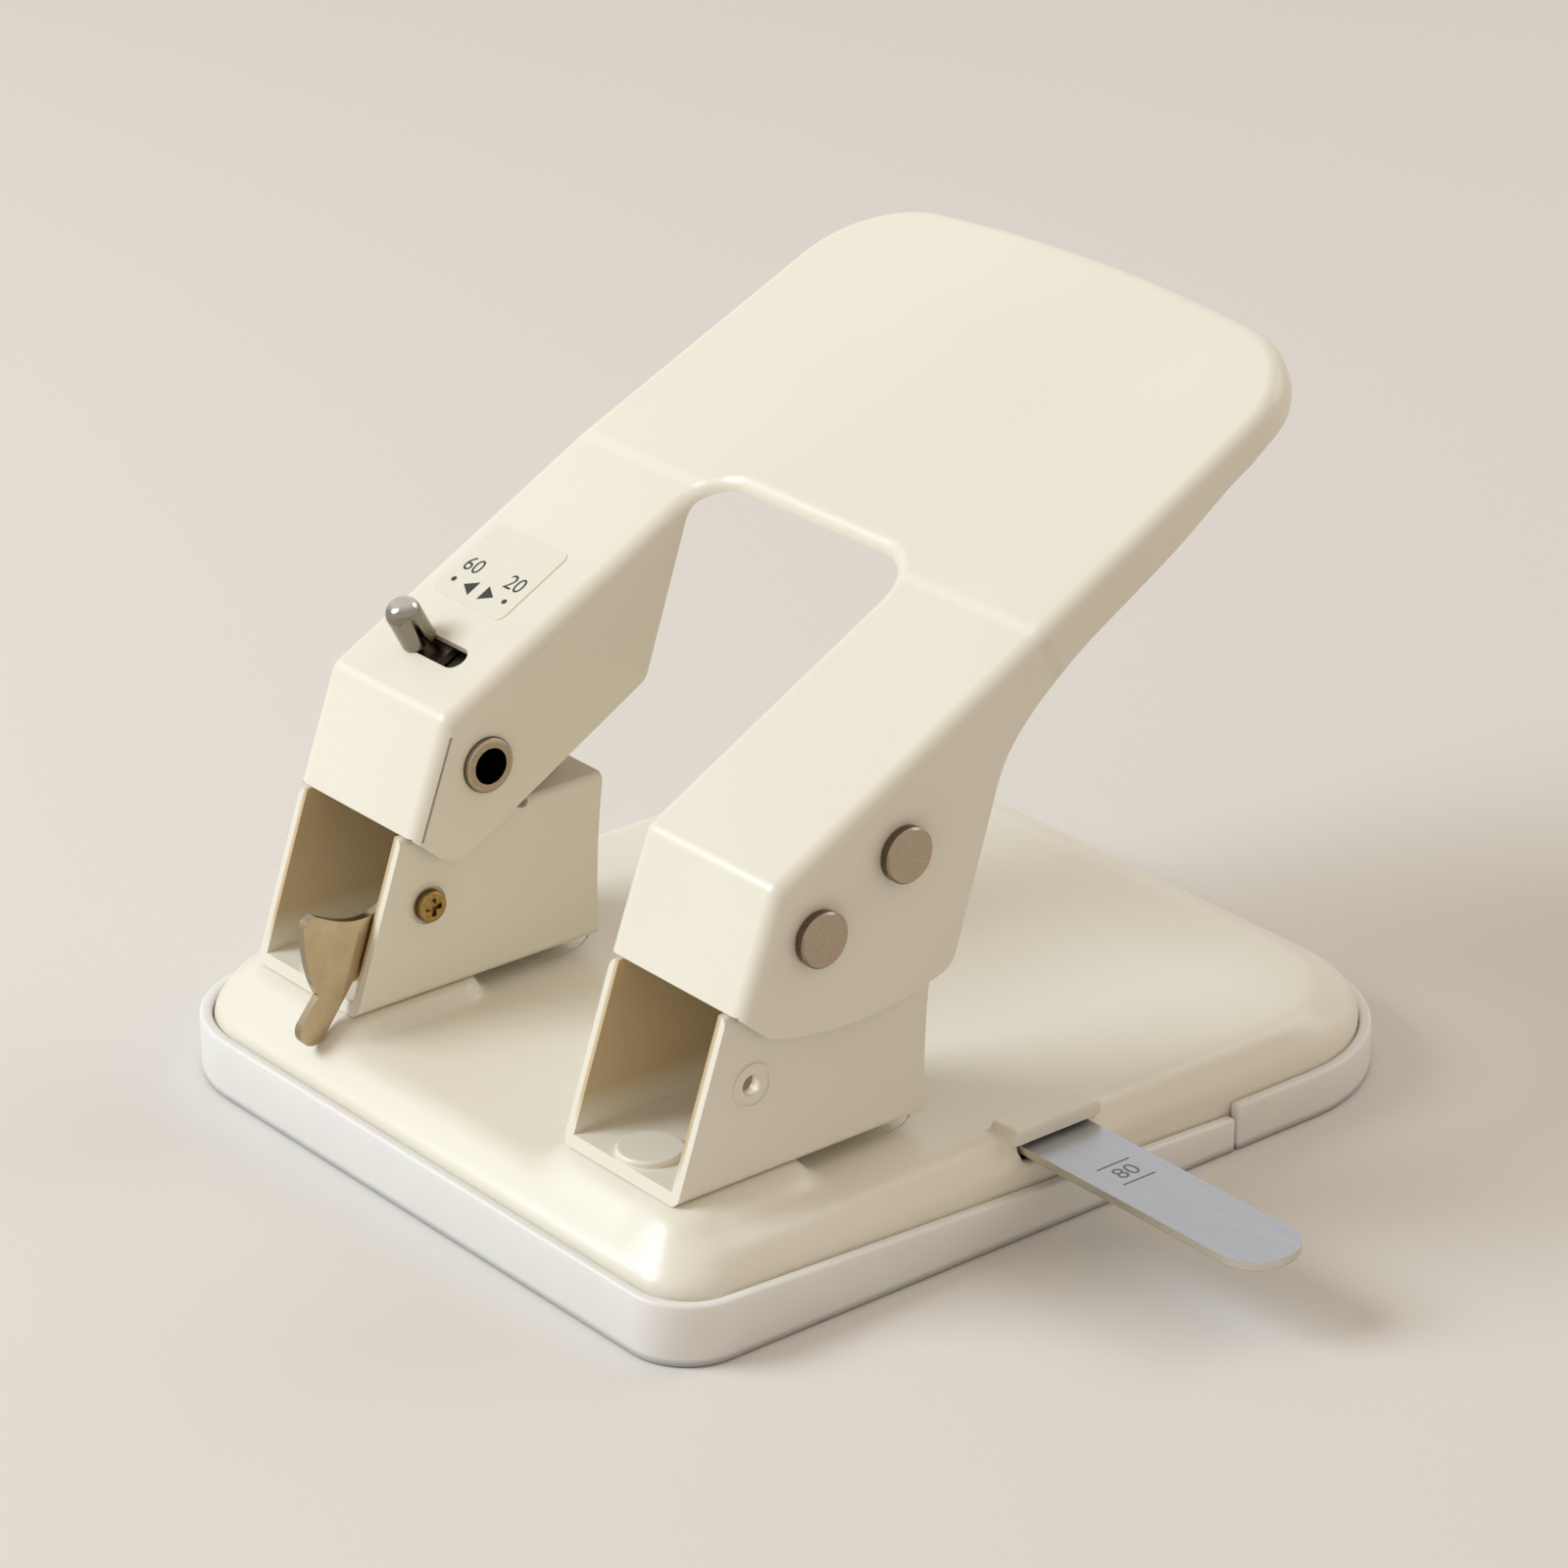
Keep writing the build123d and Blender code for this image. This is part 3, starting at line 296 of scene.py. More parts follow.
handle_enamel, tree, shader, place, tone, peel = enamel_finish("baked_cream_enamel_on_handle")
uphill = add_node(tree, "ShaderNodeVectorMath", {"operation": "DOT_PRODUCT"}, {0: place})
uphill.inputs[1].default_value = (0, cos(PALM_SLOPE), sin(PALM_SLOPE))
crease_run = CREASE_Y * cos(PALM_SLOPE) + CREASE_Z * sin(PALM_SLOPE)
step = add_map(tree, uphill.outputs["Value"], crease_run - STEP_REACH, crease_run + STEP_REACH,
               0, 1, "SMOOTHSTEP")
step_bump = add_node(tree, "ShaderNodeBump", {"Strength": 1.0, "Distance": STEP_HEIGHT},
                     {"Height": step, "Normal": peel})
tree.links.new(step_bump.outputs["Normal"], shader.inputs["Normal"])
print("step at", round(crease_run / MM, 1), "mm up the palm plate")

# %% [markdown]
# ## Soft polyethylene
#
# The tray under the base is moulded in natural low-density polyethylene. It is milky: light goes
# a few millimetres in and comes out again, so its edges glow. At the table its foot has a thin
# blue-grey line of painted shade, where the underside turns into shadow. A subsurface shader
# gives the milk, and a ramp on the height above the table paints that shade on the foot.

# %% Polyethylene
SHADED_FOOT_GREY, SHADED_FOOT_PALE, MILK = "#A3A7AA", "#B9BCBD", "#ECEBE7"
FOOT_SPAN = 10 * MM
CLOUD_SIZE, CLOUD_SHARE, CLOUD_BUMP = 9, 0.08, 0.08

soft_tray, tree, shader, place = new_finish("natural_polyethylene")
split = add_node(tree, "ShaderNodeSeparateXYZ", None, {"Vector": place})
height = add_map(tree, split.outputs["Z"], 0, FOOT_SPAN, 0, 1)
# Painted shade on the foot: blue-grey at the table, paler 0.7 mm up, and milk from 1.5 mm up.
foot = add_ramp(tree, height, (0.0, SHADED_FOOT_GREY), (0.07, SHADED_FOOT_PALE), (0.15, MILK))
cloud = add_noise(tree, place, per_mm(CLOUD_SIZE), 2)
milk = add_node(tree, "ShaderNodeMix",
                {"data_type": "RGBA", "blend_type": "MULTIPLY", "Factor": CLOUD_SHARE},
                {6: foot, 7: cloud.outputs["Color"]})
feed(tree, shader, milk.outputs[2], None, add_bump(tree, cloud.outputs["Fac"], CLOUD_BUMP, 0.2 * MM))
shader.inputs["Roughness"].default_value = 0.42
shader.inputs["IOR"].default_value = 1.51
shader.inputs["Subsurface Weight"].default_value = 0.35
shader.inputs["Subsurface Radius"].default_value = (0.9, 0.9, 0.95)
shader.inputs["Subsurface Scale"].default_value = 3 * MM
print("tray plastic", soft_tray.name)

# %% [markdown]
# ## Metals
#
# Eight bare or plated metals are used. They differ in how their surface was made. The paper gauge
# is rolled strip with fine lines along its length. The pin heads are turned and barrel plated, so
# their nickel is brown-grey with short scratches. The knob and the lever are buffed bright. The
# guides and yokes are zinc plated, which leaves a faint cloudy bloom. Drawn wire is darker,
# hardened punch steel darkest, and the lock's screw is dull brass. Each is a metal shader at the
# default IOR. What sets one apart is its colour, its roughness, the shape and size of the noise
# that drives its bump, and the tone of the faces that turn away from its broad side. That tone is
# painted light: a painted highlight on the rolled steel's edges, painted shade on the edges of the
# nickels and the brass, and on the zinc, the wire and the punch steel just the middle of their grain.

# %% Metals
METALS = {
    # name: light, dark, edge tone as painted light, roughness low and high, grain size in mm along X, Y and
    # Z, bump
    "satin_rolled_steel": ("#B9BABC", "#ABACAF", "#CFCBC0", 0.28, 0.36, (9.0, 0.22, 0.22), 0.04),
    "barrel_plated_nickel": ("#BCA992", "#AB9882", "#6E5F50", 0.24, 0.32, (0.45, 0.45, 0.45), 0.02),
    "bright_nickel": ("#C9C3B8", "#BDB6A9", "#8F887C", 0.08, 0.13, (3.0, 3.0, 3.0), 0.01),
    "buffed_lever_nickel": ("#C9B799", "#BBA88A", "#A3937A", 0.12, 0.20, (4.0, 4.0, 4.0), 0.01),
    "zinc_plate": ("#B3B1AB", "#98968F", "#A6A49D", 0.34, 0.50, (3.0, 3.0, 3.0), 0.08),
    "drawn_spring_wire": ("#8C8983", "#6C6963", "#7C7973", 0.28, 0.40, (1.0, 1.0, 1.0), 0.06),
    "hardened_punch_steel": ("#6B6763", "#4B4845", "#5B5854", 0.25, 0.38, (0.4, 0.4, 4.0), 0.08),
    "dull_brass": ("#B4935A", "#94743F", "#7A6034", 0.28, 0.42, (0.8, 0.8, 0.8), 0.10),
}
BROAD_SIDE = {"satin_rolled_steel": "Z", "bright_nickel": "Z"}
EDGE_TURNED, EDGE_FACING = 0.55, 0.85
GRAIN_DEPTH = 0.1 * MM


def metal_finish(name, light, dark, edge, low, high, grain, strength):
    """A metal whose grain drives its colour, its roughness and its bump."""
    material, tree, shader, place = new_finish(name)
    stretched = add_node(tree, "ShaderNodeMapping", {"Scale": [per_mm(size) for size in grain]},
                         {"Vector": place})
    lines = add_noise(tree, stretched.outputs["Vector"], 1.0, 3, 0.6).outputs["Fac"]
    tone = add_ramp(tree, lines, (NOISE_LOW, dark), (NOISE_HIGH, light))
    normal = add_node(tree, "ShaderNodeTexCoord").outputs["Normal"]
    ways = add_node(tree, "ShaderNodeSeparateXYZ", None, {"Vector": normal})
    # Faces turned away from the broad side take the edge tone, which is painted light on the edges: lighter
    # on the rolled steel, darker on the nickels and the brass.
    facing = add_math(tree, "ABSOLUTE", ways.outputs[BROAD_SIDE.get(name, "X")])
    painted_edge_shading = add_map(tree, facing, EDGE_TURNED, EDGE_FACING, 1, 0)
    feed(tree, shader, add_mask(tree, painted_edge_shading, tone, edge),
         add_map(tree, lines, NOISE_LOW, NOISE_HIGH, low, high),
         add_bump(tree, lines, strength, GRAIN_DEPTH))
    shader.inputs["Metallic"].default_value = 1.0
    return material


metals = {name: metal_finish(name, *looks) for name, looks in METALS.items()}
print("metals", sorted(metals))

# %% [markdown]
# ## Two finishes that change with their place
#
# The enamel on the inner walls of the narrow head frames gets painted shade: it turns a darker
# cream inside the channel and higher up under its roof, where little light reaches. The dies were
# let in before spraying: their flat tops are cream like the base, and only the ground ring round
# the hole stays bare steel. Both are enamel with a mask worked out from the part's own coordinates.

# %% Painted shade inside the frames and ground die
HEAD_PITCH_HALF = 40 * MM
SHADE_WITHIN, SHADE_GONE_BEYOND = 12.2 * MM, 12.6 * MM
FLOOR_CLEAR, WALL_FULLY_SHADED = 21 * MM, 26 * MM
RING_BARE, RING_SPRAYED = 4.5 * MM, 4.8 * MM
PAINTED_CHANNEL_SHADE, GROUND_STEEL = "#C9B48C", "#8F8C88"


def middle_y(node):
    """Where the middle of a part lies along Y."""
    low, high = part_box(node)
    return (low.y + high.y) / 2


def from_head_middle(tree, place):
    """The distance across X from the middle of the nearer head, and the split coordinates."""
    split = add_node(tree, "ShaderNodeSeparateXYZ", None, {"Vector": place})
    outward = add_math(tree, "ABSOLUTE", split.outputs["X"])
    across = add_math(tree, "SUBTRACT", outward, HEAD_PITCH_HALF)
    return add_math(tree, "ABSOLUTE", across), split


PUNCH_Y = middle_y("punch_left")

frame_enamel, tree, shader, place, tone, peel = enamel_finish("baked_cream_enamel_on_frames")
across, split = from_head_middle(tree, place)
# Painted shade: darker cream inside the frame's channel, growing from 21 mm to 26 mm above the table.
inside = add_map(tree, across, SHADE_WITHIN, SHADE_GONE_BEYOND, 1, 0)
above = add_map(tree, split.outputs["Z"], FLOOR_CLEAR, WALL_FULLY_SHADED, 0, 1)
feed(tree, shader, add_mask(tree, add_math(tree, "MULTIPLY", inside, above), tone, PAINTED_CHANNEL_SHADE))

ground_die, tree, shader, place, tone, peel = enamel_finish("sprayed_die_with_ground_ring")
across, split = from_head_middle(tree, place)
ahead = add_math(tree, "SUBTRACT", split.outputs["Y"], PUNCH_Y)
flat = add_node(tree, "ShaderNodeCombineXYZ", None, {"X": across, "Y": ahead})
reach = add_node(tree, "ShaderNodeVectorMath", {"operation": "LENGTH"}, {0: flat.outputs[0]})
bare_steel = add_map(tree, reach.outputs["Value"], RING_BARE, RING_SPRAYED, 1, 0)
feed(tree, shader, add_mask(tree, bare_steel, tone, GROUND_STEEL))
tree.links.new(bare_steel, shader.inputs["Metallic"])
print("finishes with masks", [frame_enamel.name, ground_die.name])

# %% [markdown]
# ## Label film and ink
#
# The selector's label is a clear-coated paper film in nearly the enamel's colour. Its marks are
# screen printed in black ink, which is matt and a little uneven.

# %% Film and ink
def printed_finish(name, grain, detail, dark, light, roughness):
    """A plain sheet or ink whose tone varies with a fine grain."""
    material, tree, shader, place = new_finish(name)
    speck = add_noise(tree, place, per_mm(grain), detail)
    feed(tree, shader, add_ramp(tree, speck.outputs["Fac"], (0, dark), (1, light)))
    shader.inputs["Roughness"].default_value = roughness
    return material


film = printed_finish("coated_paper_film", 2.5, 3, "#E3DECE", "#E8E4D5", 0.30)
ink = printed_finish("screen_printed_ink", 0.4, 2, "#161412", "#2B2825", 0.55)
print("label", film.name, ink.name)

# %% [markdown]
# ## Finishes for the CAD parts
#
# Every part of the frame now gets its finish. The names say what each part is, so a short list of
# beginnings is enough to sort them.

# %% Assign the finishes
FINISHES = (
    (enamel, ("base_shell", "frame_rivet")),
    (frame_enamel, ("head_frame",)),
    (handle_enamel, ("handle",)),
    (soft_tray, ("chip_",)),
    (ground_die, ("die_",)),
    (film, ("selector_label",)),
    (metals["hardened_punch_steel"], ("punch_left", "punch_right", "selector_guide")),
    (metals["zinc_plate"], ("lower_guide", "upper_guide", "spring_collar", "punch_yoke",
                            "lock_washer", "lock_nut", "gauge_guide")),
    (metals["drawn_spring_wire"], ("return_spring", "gauge_spring")),
    (metals["barrel_plated_nickel"], ("pivot_rivet", "drive_pin", "selector_slide")),
    (metals["bright_nickel"], ("selector_knob",)),
    (metals["buffed_lever_nickel"], ("lock_lever",)),
    (metals["dull_brass"], ("lock_screw",)),
    (metals["satin_rolled_steel"], ("gauge_bar", "gauge_stop")),
)
bare = set(nodes)
for finish, beginnings in FINISHES:
    for name, part in nodes.items():
        if name.startswith(beginnings):
            part.data.materials.clear()
            part.data.materials.append(finish)
            bare.discard(name)
print("parts with no finish", sorted(bare))

# %% [markdown]
# ## Copies that may be reshaped
#
# A CAD part is never edited. Where the real piece is softer than the drawing, we take a copy of
# the part, join its loose triangles, reshape the copy, and let it stand for the part. Operators act
# on whatever is selected, so small helpers select one piece and settle its place.

# %% Helpers for copies
MERGE_DISTANCE = 0.001 * MM


def select_only(piece):
    """Select one piece and make it the active one."""
    bpy.ops.object.select_all(action="DESELECT")
    piece.select_set(True)
    bpy.context.view_layer.objects.active = piece


def settle(piece):
    """Put the piece's place into its mesh, so that its object sits at the origin."""
    select_only(piece)
    bpy.ops.object.transform_apply(location=True, rotation=True, scale=True)
    return piece


def merged_copy(node, name):
    """A copy of a CAD part as a piece of its own, with its triangles joined."""
    piece = bpy.data.objects.new(name, nodes[node].data.copy())
    scene.collection.objects.link(piece)
    select_only(piece)
    bpy.ops.object.mode_set(mode="EDIT")
    bpy.ops.mesh.select_all(action="SELECT")
    bpy.ops.mesh.remove_doubles(threshold=MERGE_DISTANCE)
    bpy.ops.object.mode_set(mode="OBJECT")
    bpy.ops.mesh.customdata_custom_splitnormals_clear()
    return piece


def paint(piece, finish):
    """Give a piece one finish."""
    piece.data.materials.clear()
    piece.data.materials.append(finish)


def ramp(value, low, high):
    """0 below low, 1 above high, and a straight ramp between."""
    return min(1, max(0, (value - low) / (high - low)))


print("parts that may be copied", len(nodes))

# %% [markdown]
# ## The near corner
#
# The near corner of the tray and the base in the photograph turns in a radius of about 10 mm. The
# drawing has 22 mm at both front corners, which suits the other one. So the copy of the base is
# pushed outwards in its near corner: a point keeps its direction from the centre of the drawn arc
# and moves out in proportion to its distance, until the drawn arc lies on the tighter one.

# %% Corner rule
TRAY_LOW, TRAY_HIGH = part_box("chip_tray")
FLAP_LOW, FLAP_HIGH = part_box("chip_flap")
DRAWN_RADIUS = 22 * MM
NEAR_RADIUS = 10.4 * MM
REAR_RADIUS = 28.5 * MM
CORNER_X = TRAY_HIGH.x - DRAWN_RADIUS
CORNER_Y = TRAY_LOW.y + DRAWN_RADIUS


def tighter_edge(across, ahead):
    """How far the tighter corner lies from the drawn arc's centre, in a direction."""
    square = DRAWN_RADIUS - NEAR_RADIUS
    if max(across, ahead) * square >= min(across, ahead) * DRAWN_RADIUS:
        return DRAWN_RADIUS / max(across, ahead)
    lean = square * (across + ahead)
    return lean + (lean * lean - 2 * square * square + NEAR_RADIUS * NEAR_RADIUS) ** 0.5


def tighten_near_corner(piece):
    """Push the piece's near front corner out from the drawn radius to the real one."""
    moved = 0
    for vertex in piece.data.vertices:
        across = vertex.co.x - CORNER_X
        ahead = CORNER_Y - vertex.co.y
        if across <= 0 or ahead <= 0:
            continue
        reach = (across * across + ahead * ahead) ** 0.5
        edge = tighter_edge(across / reach, ahead / reach)
        grow = 1 + (edge / DRAWN_RADIUS - 1) * reach / DRAWN_RADIUS
        vertex.co.x = CORNER_X + across * grow
        vertex.co.y = CORNER_Y - ahead * grow
        moved += 1
    piece.data.update()
    print(piece.name, "corner points moved", moved)


print("near corner centre in mm", round(CORNER_X / MM, 2), round(CORNER_Y / MM, 2))

# %% [markdown]
# ## How soft the pressed base is
#
# A press draws a sheet over a block, and the sheet flows round each edge in a soft curve. Drawn as
# flat slopes, the base looks folded. So the copy is remeshed into small even faces, and a Smooth
# modifier will let its edges relax. A function says how far the sheet relaxes at each point: fully
# on the front, side and rear slopes, a little round the raised lands, and hardly at all at the
# gauge's hood and the die holes, which were formed after the drawing and stay crisp.

# %% Softness of the sheet
SHELL_VOXEL = 0.76 * MM
SIDE_SLOPE = (50 * MM, 57 * MM)
FRONT_SLOPE = (60 * MM, 66 * MM)
REAR_SLOPE = (55 * MM, 62 * MM)
LAND_SOFTNESS = 0.15
DIE_REACH, DIE_SOFTNESS = 13 * MM, 0.04
HOOD_REACH, HOOD_FADE, HOOD_SOFTNESS = 11 * MM, 3 * MM, 0.05
PUNCH_RADIUS = 3 * MM
HEAD_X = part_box("punch_right")[1].x - PUNCH_RADIUS
GAUGE_Y = middle_y("gauge_bar")

base_skin = merged_copy("base_shell", "pressed_base_shell")
base_skin.data.remesh_voxel_size = SHELL_VOXEL
base_skin.data.use_remesh_preserve_attributes = False
select_only(base_skin)
bpy.ops.object.voxel_remesh()


def softness(point):
    """How far the sheet relaxes at a point of the base."""
    x, y = abs(point.x), point.y
    from_die = ((x - HEAD_X) ** 2 + (y - PUNCH_Y) ** 2) ** 0.5
    if from_die < DIE_REACH:
        return DIE_SOFTNESS
    outer = max(ramp(x, *SIDE_SLOPE), ramp(-y, *FRONT_SLOPE), ramp(y, *REAR_SLOPE))
    soft = LAND_SOFTNESS + (1 - LAND_SOFTNESS) * outer
    if point.x > 0:
        from_hood = ramp(abs(y - GAUGE_Y), HOOD_REACH, HOOD_REACH + HOOD_FADE)
        soft *= HOOD_SOFTNESS + (1 - HOOD_SOFTNESS) * from_hood
    return soft


relax = base_skin.vertex_groups.new(name="relax")
for vertex in base_skin.data.vertices:
    relax.add([vertex.index], softness(vertex.co), "REPLACE")
print("base shell points", len(base_skin.data.vertices))

# %% [markdown]
# ## Relax the sheet and true its rim
#
# The Smooth modifier moves each point towards its neighbours, and that also draws the upright rim
# inwards at the corners, where the drawn arcs are short straight pieces. So the rim's points are
# brought back to the true arcs, wholly at the foot and less and less towards the slope.

# %% Soft base shell
RELAX_STEP, RELAX_TIMES = 0.5, 45
SHELL_CREASE = radians(40)
RIM_TRUE, RIM_FREE = 8.2 * MM, 10.2 * MM
SHELL_INSET = TRAY_HIGH.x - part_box("base_shell")[1].x
SHEET = 1.5 * MM


def round_rim(piece):
    """Bring the upright rim back to the true arcs of its corners, fading out above it."""
    for vertex in piece.data.vertices:
        front = vertex.co.y < 0
        radius = DRAWN_RADIUS if front else REAR_RADIUS
        middle_x = TRAY_HIGH.x - radius
        turn_y = TRAY_LOW.y + radius if front else FLAP_HIGH.y - radius
        across = abs(vertex.co.x) - middle_x
        ahead = turn_y - vertex.co.y if front else vertex.co.y - turn_y
        pull = 1 - ramp(vertex.co.z, RIM_TRUE, RIM_FREE)
        if across <= 0 or ahead <= 0 or pull == 0:
            continue
        reach = (across * across + ahead * ahead) ** 0.5
        outer, inner = radius - SHELL_INSET, radius - SHELL_INSET - SHEET
        true = outer if reach > (outer + inner) / 2 else inner
        grow = 1 + pull * (true / reach - 1)
        vertex.co.x = (middle_x + across * grow) * (1 if vertex.co.x > 0 else -1)
        vertex.co.y = turn_y + (-1 if front else 1) * ahead * grow


smooth = base_skin.modifiers.new("relax", "SMOOTH")
smooth.factor = RELAX_STEP
smooth.iterations = RELAX_TIMES
smooth.vertex_group = "relax"
select_only(base_skin)
bpy.ops.object.modifier_apply(modifier="relax")
round_rim(base_skin)
tighten_near_corner(base_skin)
bpy.ops.object.shade_smooth_by_angle(angle=SHELL_CREASE)
paint(base_skin, enamel)
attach(base_skin, "base")
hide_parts("base_shell")
print("base shell faces", len(base_skin.data.polygons))

# %% [markdown]
# ## Room under the soft edge
#
# The gauge's channel runs close under the sheet that has just been relaxed, out to the deck's
# edge. This copy ends a few millimetres further in, as a margin.

# %% Gauge channel
GUIDE_BACK = 3.5 * MM

guide_piece = merged_copy("gauge_guide", "gauge_channel")
guide_end = max(vertex.co.x for vertex in guide_piece.data.vertices) - GUIDE_BACK
for vertex in guide_piece.data.vertices:
    vertex.co.x = min(vertex.co.x, guide_end)
guide_piece.data.update()
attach(guide_piece, "base")
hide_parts("gauge_guide")
print("gauge channel ends at x", round(guide_end / MM, 1))

# %% [markdown]
# ## The pressed handle
#
# In the photograph the palm plate narrows a little towards its rear end, its side wall keeps a
# depth of about 5 mm there, and the rear edge is more crowned. The solid's wall tapers to 3.3 mm.
# So the copy's lower edge is let down: a point below the edge's roll moves down in proportion to
# its depth. The crown is deepened by drawing the rear corners back, inside the solid's box. The
# two tables give the wall's depth at runs up the palm plate from its crease, all in millimetres.

# %% Handle with a deeper palm edge
DRAWN_EDGE = ((21.8, 7.0), (35.8, 5.0), (45.0, 3.6), (57.0, 3.3), (80.0, 3.3))
REAL_EDGE = ((21.8, 7.0), (35.8, 6.0), (45.0, 5.5), (57.0, 5.0), (66.0, 4.6), (80.0, 4.4))
STRETCH_START, FOOT_BAND = 2.4, 0.02
PALM_LENGTH, PALM_DEEPEST = 69.5, 12
CORNER_START, CORNER_BACK = 44.0, 2.0
TAPER, TAPER_END = 2.4, 50.5
HANDLE_CREASE = radians(35)
PALM_HALF_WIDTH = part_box("handle")[1].x


def along(table, run):
    """The value at a run, on straight lines between the table's rows."""
    for (low, low_value), (high, high_value) in zip(table, table[1:]):
        if low <= run <= high:
            return low_value + (high_value - low_value) * (run - low) / (high - low)
    return table[0][1]


def reshape_palm(point):
    """Taper the palm, let its side wall down and draw its rear corners back, at one point."""
    back, up = (point.y - CREASE_Y) / MM, (point.z - CREASE_Z) / MM
    run = back * cos(PALM_SLOPE) + up * sin(PALM_SLOPE)
    depth = back * sin(PALM_SLOPE) - up * cos(PALM_SLOPE)
    if run < 0 or depth > PALM_DEEPEST:
        return
    point.x *= 1 - TAPER * MM / PALM_HALF_WIDTH * ramp(run, 0, TAPER_END)
    foot = along(DRAWN_EDGE, run)
    depth += (along(REAL_EDGE, run) - foot) * ramp(depth, STRETCH_START, foot - FOOT_BAND)
    share = ramp(run, CORNER_START, PALM_LENGTH)
    share = share * share * (3 - 2 * share)
    outward = min(1, abs(point.x) / PALM_HALF_WIDTH)
    run -= CORNER_BACK * share * outward * outward
    point.y = CREASE_Y + (run * cos(PALM_SLOPE) + depth * sin(PALM_SLOPE)) * MM
    point.z = CREASE_Z + (run * sin(PALM_SLOPE) - depth * cos(PALM_SLOPE)) * MM


handle_skin = merged_copy("handle", "pressed_handle")
for vertex in handle_skin.data.vertices:
    reshape_palm(vertex.co)
handle_skin.data.update()
select_only(handle_skin)
bpy.ops.object.shade_smooth_by_angle(angle=HANDLE_CREASE)
even = handle_skin.modifiers.new("even", "WEIGHTED_NORMAL")
even.mode = "FACE_AREA_WITH_ANGLE"
even.keep_sharp = True
bpy.ops.object.modifier_apply(modifier="even")
paint(handle_skin, handle_enamel)
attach(handle_skin, "handle")
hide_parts("handle")
print("handle faces", len(handle_skin.data.polygons))

# %% [markdown]
# ## Flat plates and wafers
#
# The tray, the label's film and the stamped strokes start as flat plates. A flat outline is drawn
# first and then pulled up, as a sketch becomes a solid in CAD.

# %% Plates
def flat_plate(name, wide, deep, middle=0):
    """A flat plate round the Z axis, or with its middle at a distance along Y."""
    bpy.ops.object.select_all(action="DESELECT")
    bpy.ops.mesh.primitive_plane_add(size=1, location=(0, middle, 0))
    piece = bpy.context.object
    piece.name = name
    piece.scale = (wide, deep, 1)
    return settle(piece)


def pull_up(piece, height):
    """Pull a flat outline up into a wafer, or down where the height is below 0."""
    select_only(piece)
    bpy.ops.object.mode_set(mode="EDIT")
    bpy.ops.mesh.select_all(action="SELECT")
    bpy.ops.mesh.extrude_region_move(TRANSFORM_OT_translate={"value": (0, 0, height)})
    bpy.ops.mesh.select_all(action="SELECT")
    bpy.ops.mesh.normals_make_consistent(inside=False)
    bpy.ops.object.mode_set(mode="OBJECT")
    return piece


print("tray outline in mm", [round(v / MM, 2) for v in (TRAY_HIGH.x, TRAY_LOW.y, FLAP_HIGH.y)])

# %% [markdown]
# ## The soft tray's block
#
# The tray is modelled as a mould maker would see it. It starts as a flat plate with its corners
# rounded, is drawn up into a block, and gets a pocket with a ledge for the base to sit on.

# %% Tray block
WALL = 2 * MM
LEDGE_WIDTH, LEDGE_HEIGHT, FLOOR_HEIGHT = 1.8 * MM, 3.1 * MM, 1.6 * MM
CORNER_SEGMENTS = 14


def move_up(height):
    """Draw the selected face up, or down where the height is below 0."""
    bpy.ops.mesh.extrude_region_move(TRANSFORM_OT_translate={"value": (0, 0, height)})


def round_corner(piece, x, y, radius):
    """Round the plate's corner nearest a place, leaving nothing selected."""
    for vertex in piece.data.vertices:
        vertex.select = (vertex.co.xy - Vector((x, y))).length < MM
    bpy.ops.object.mode_set(mode="EDIT")
    bpy.ops.mesh.select_mode(type="VERT")
    bpy.ops.mesh.bevel(offset=radius, affect="VERTICES", segments=CORNER_SEGMENTS, profile=0.5)
    bpy.ops.mesh.select_all(action="DESELECT")
    bpy.ops.object.mode_set(mode="OBJECT")


def tray_block(name, height):
    """A rounded block with a stepped pocket, from the table up to a height."""
    piece = flat_plate(name, TRAY_HIGH.x - TRAY_LOW.x, FLAP_HIGH.y - TRAY_LOW.y,
                       (TRAY_LOW.y + FLAP_HIGH.y) / 2)
    bpy.ops.object.mode_set(mode="EDIT")
    bpy.ops.mesh.select_all(action="DESELECT")
    bpy.ops.object.mode_set(mode="OBJECT")
    round_corner(piece, TRAY_HIGH.x, TRAY_LOW.y, NEAR_RADIUS)
    round_corner(piece, TRAY_LOW.x, TRAY_LOW.y, DRAWN_RADIUS)
    round_corner(piece, TRAY_HIGH.x, FLAP_HIGH.y, REAR_RADIUS)
    round_corner(piece, TRAY_LOW.x, FLAP_HIGH.y, REAR_RADIUS)
    bpy.ops.object.mode_set(mode="EDIT")
    bpy.ops.mesh.select_mode(type="FACE")
    bpy.ops.mesh.select_all(action="SELECT")
    move_up(height)
    bpy.ops.mesh.inset(thickness=WALL)
    move_up(LEDGE_HEIGHT - height)
    bpy.ops.mesh.inset(thickness=LEDGE_WIDTH)
    move_up(FLOOR_HEIGHT - LEDGE_HEIGHT)
    bpy.ops.mesh.select_all(action="SELECT")
    bpy.ops.mesh.normals_make_consistent(inside=False)
    bpy.ops.object.mode_set(mode="OBJECT")
    return piece


tray_piece = tray_block("moulded_chip_tray", TRAY_HIGH.z)
flap_piece = tray_block("moulded_chip_flap", FLAP_HIGH.z)
print("tray block points", len(tray_piece.data.vertices), "flap", len(flap_piece.data.vertices))

# %% [markdown]
# ## Tray and flap
#
# The tray's rim falls towards the rear, so its points come down in proportion to their distance
# from the front. Then the block is cut where the flap begins. The flap is the second block, of
# one even height, and only its rear is kept. A small Bevel at the end takes the sharpness off
# the edges.

# %% Tray and flap
RIM_REAR_HEIGHT = 5.5 * MM
FALL_PAST = 10 * MM
EDGE_ROUND, EDGE_SEGMENTS = 0.6 * MM, 3
EDGE_ANGLE, TRAY_CREASE = radians(50), radians(35)


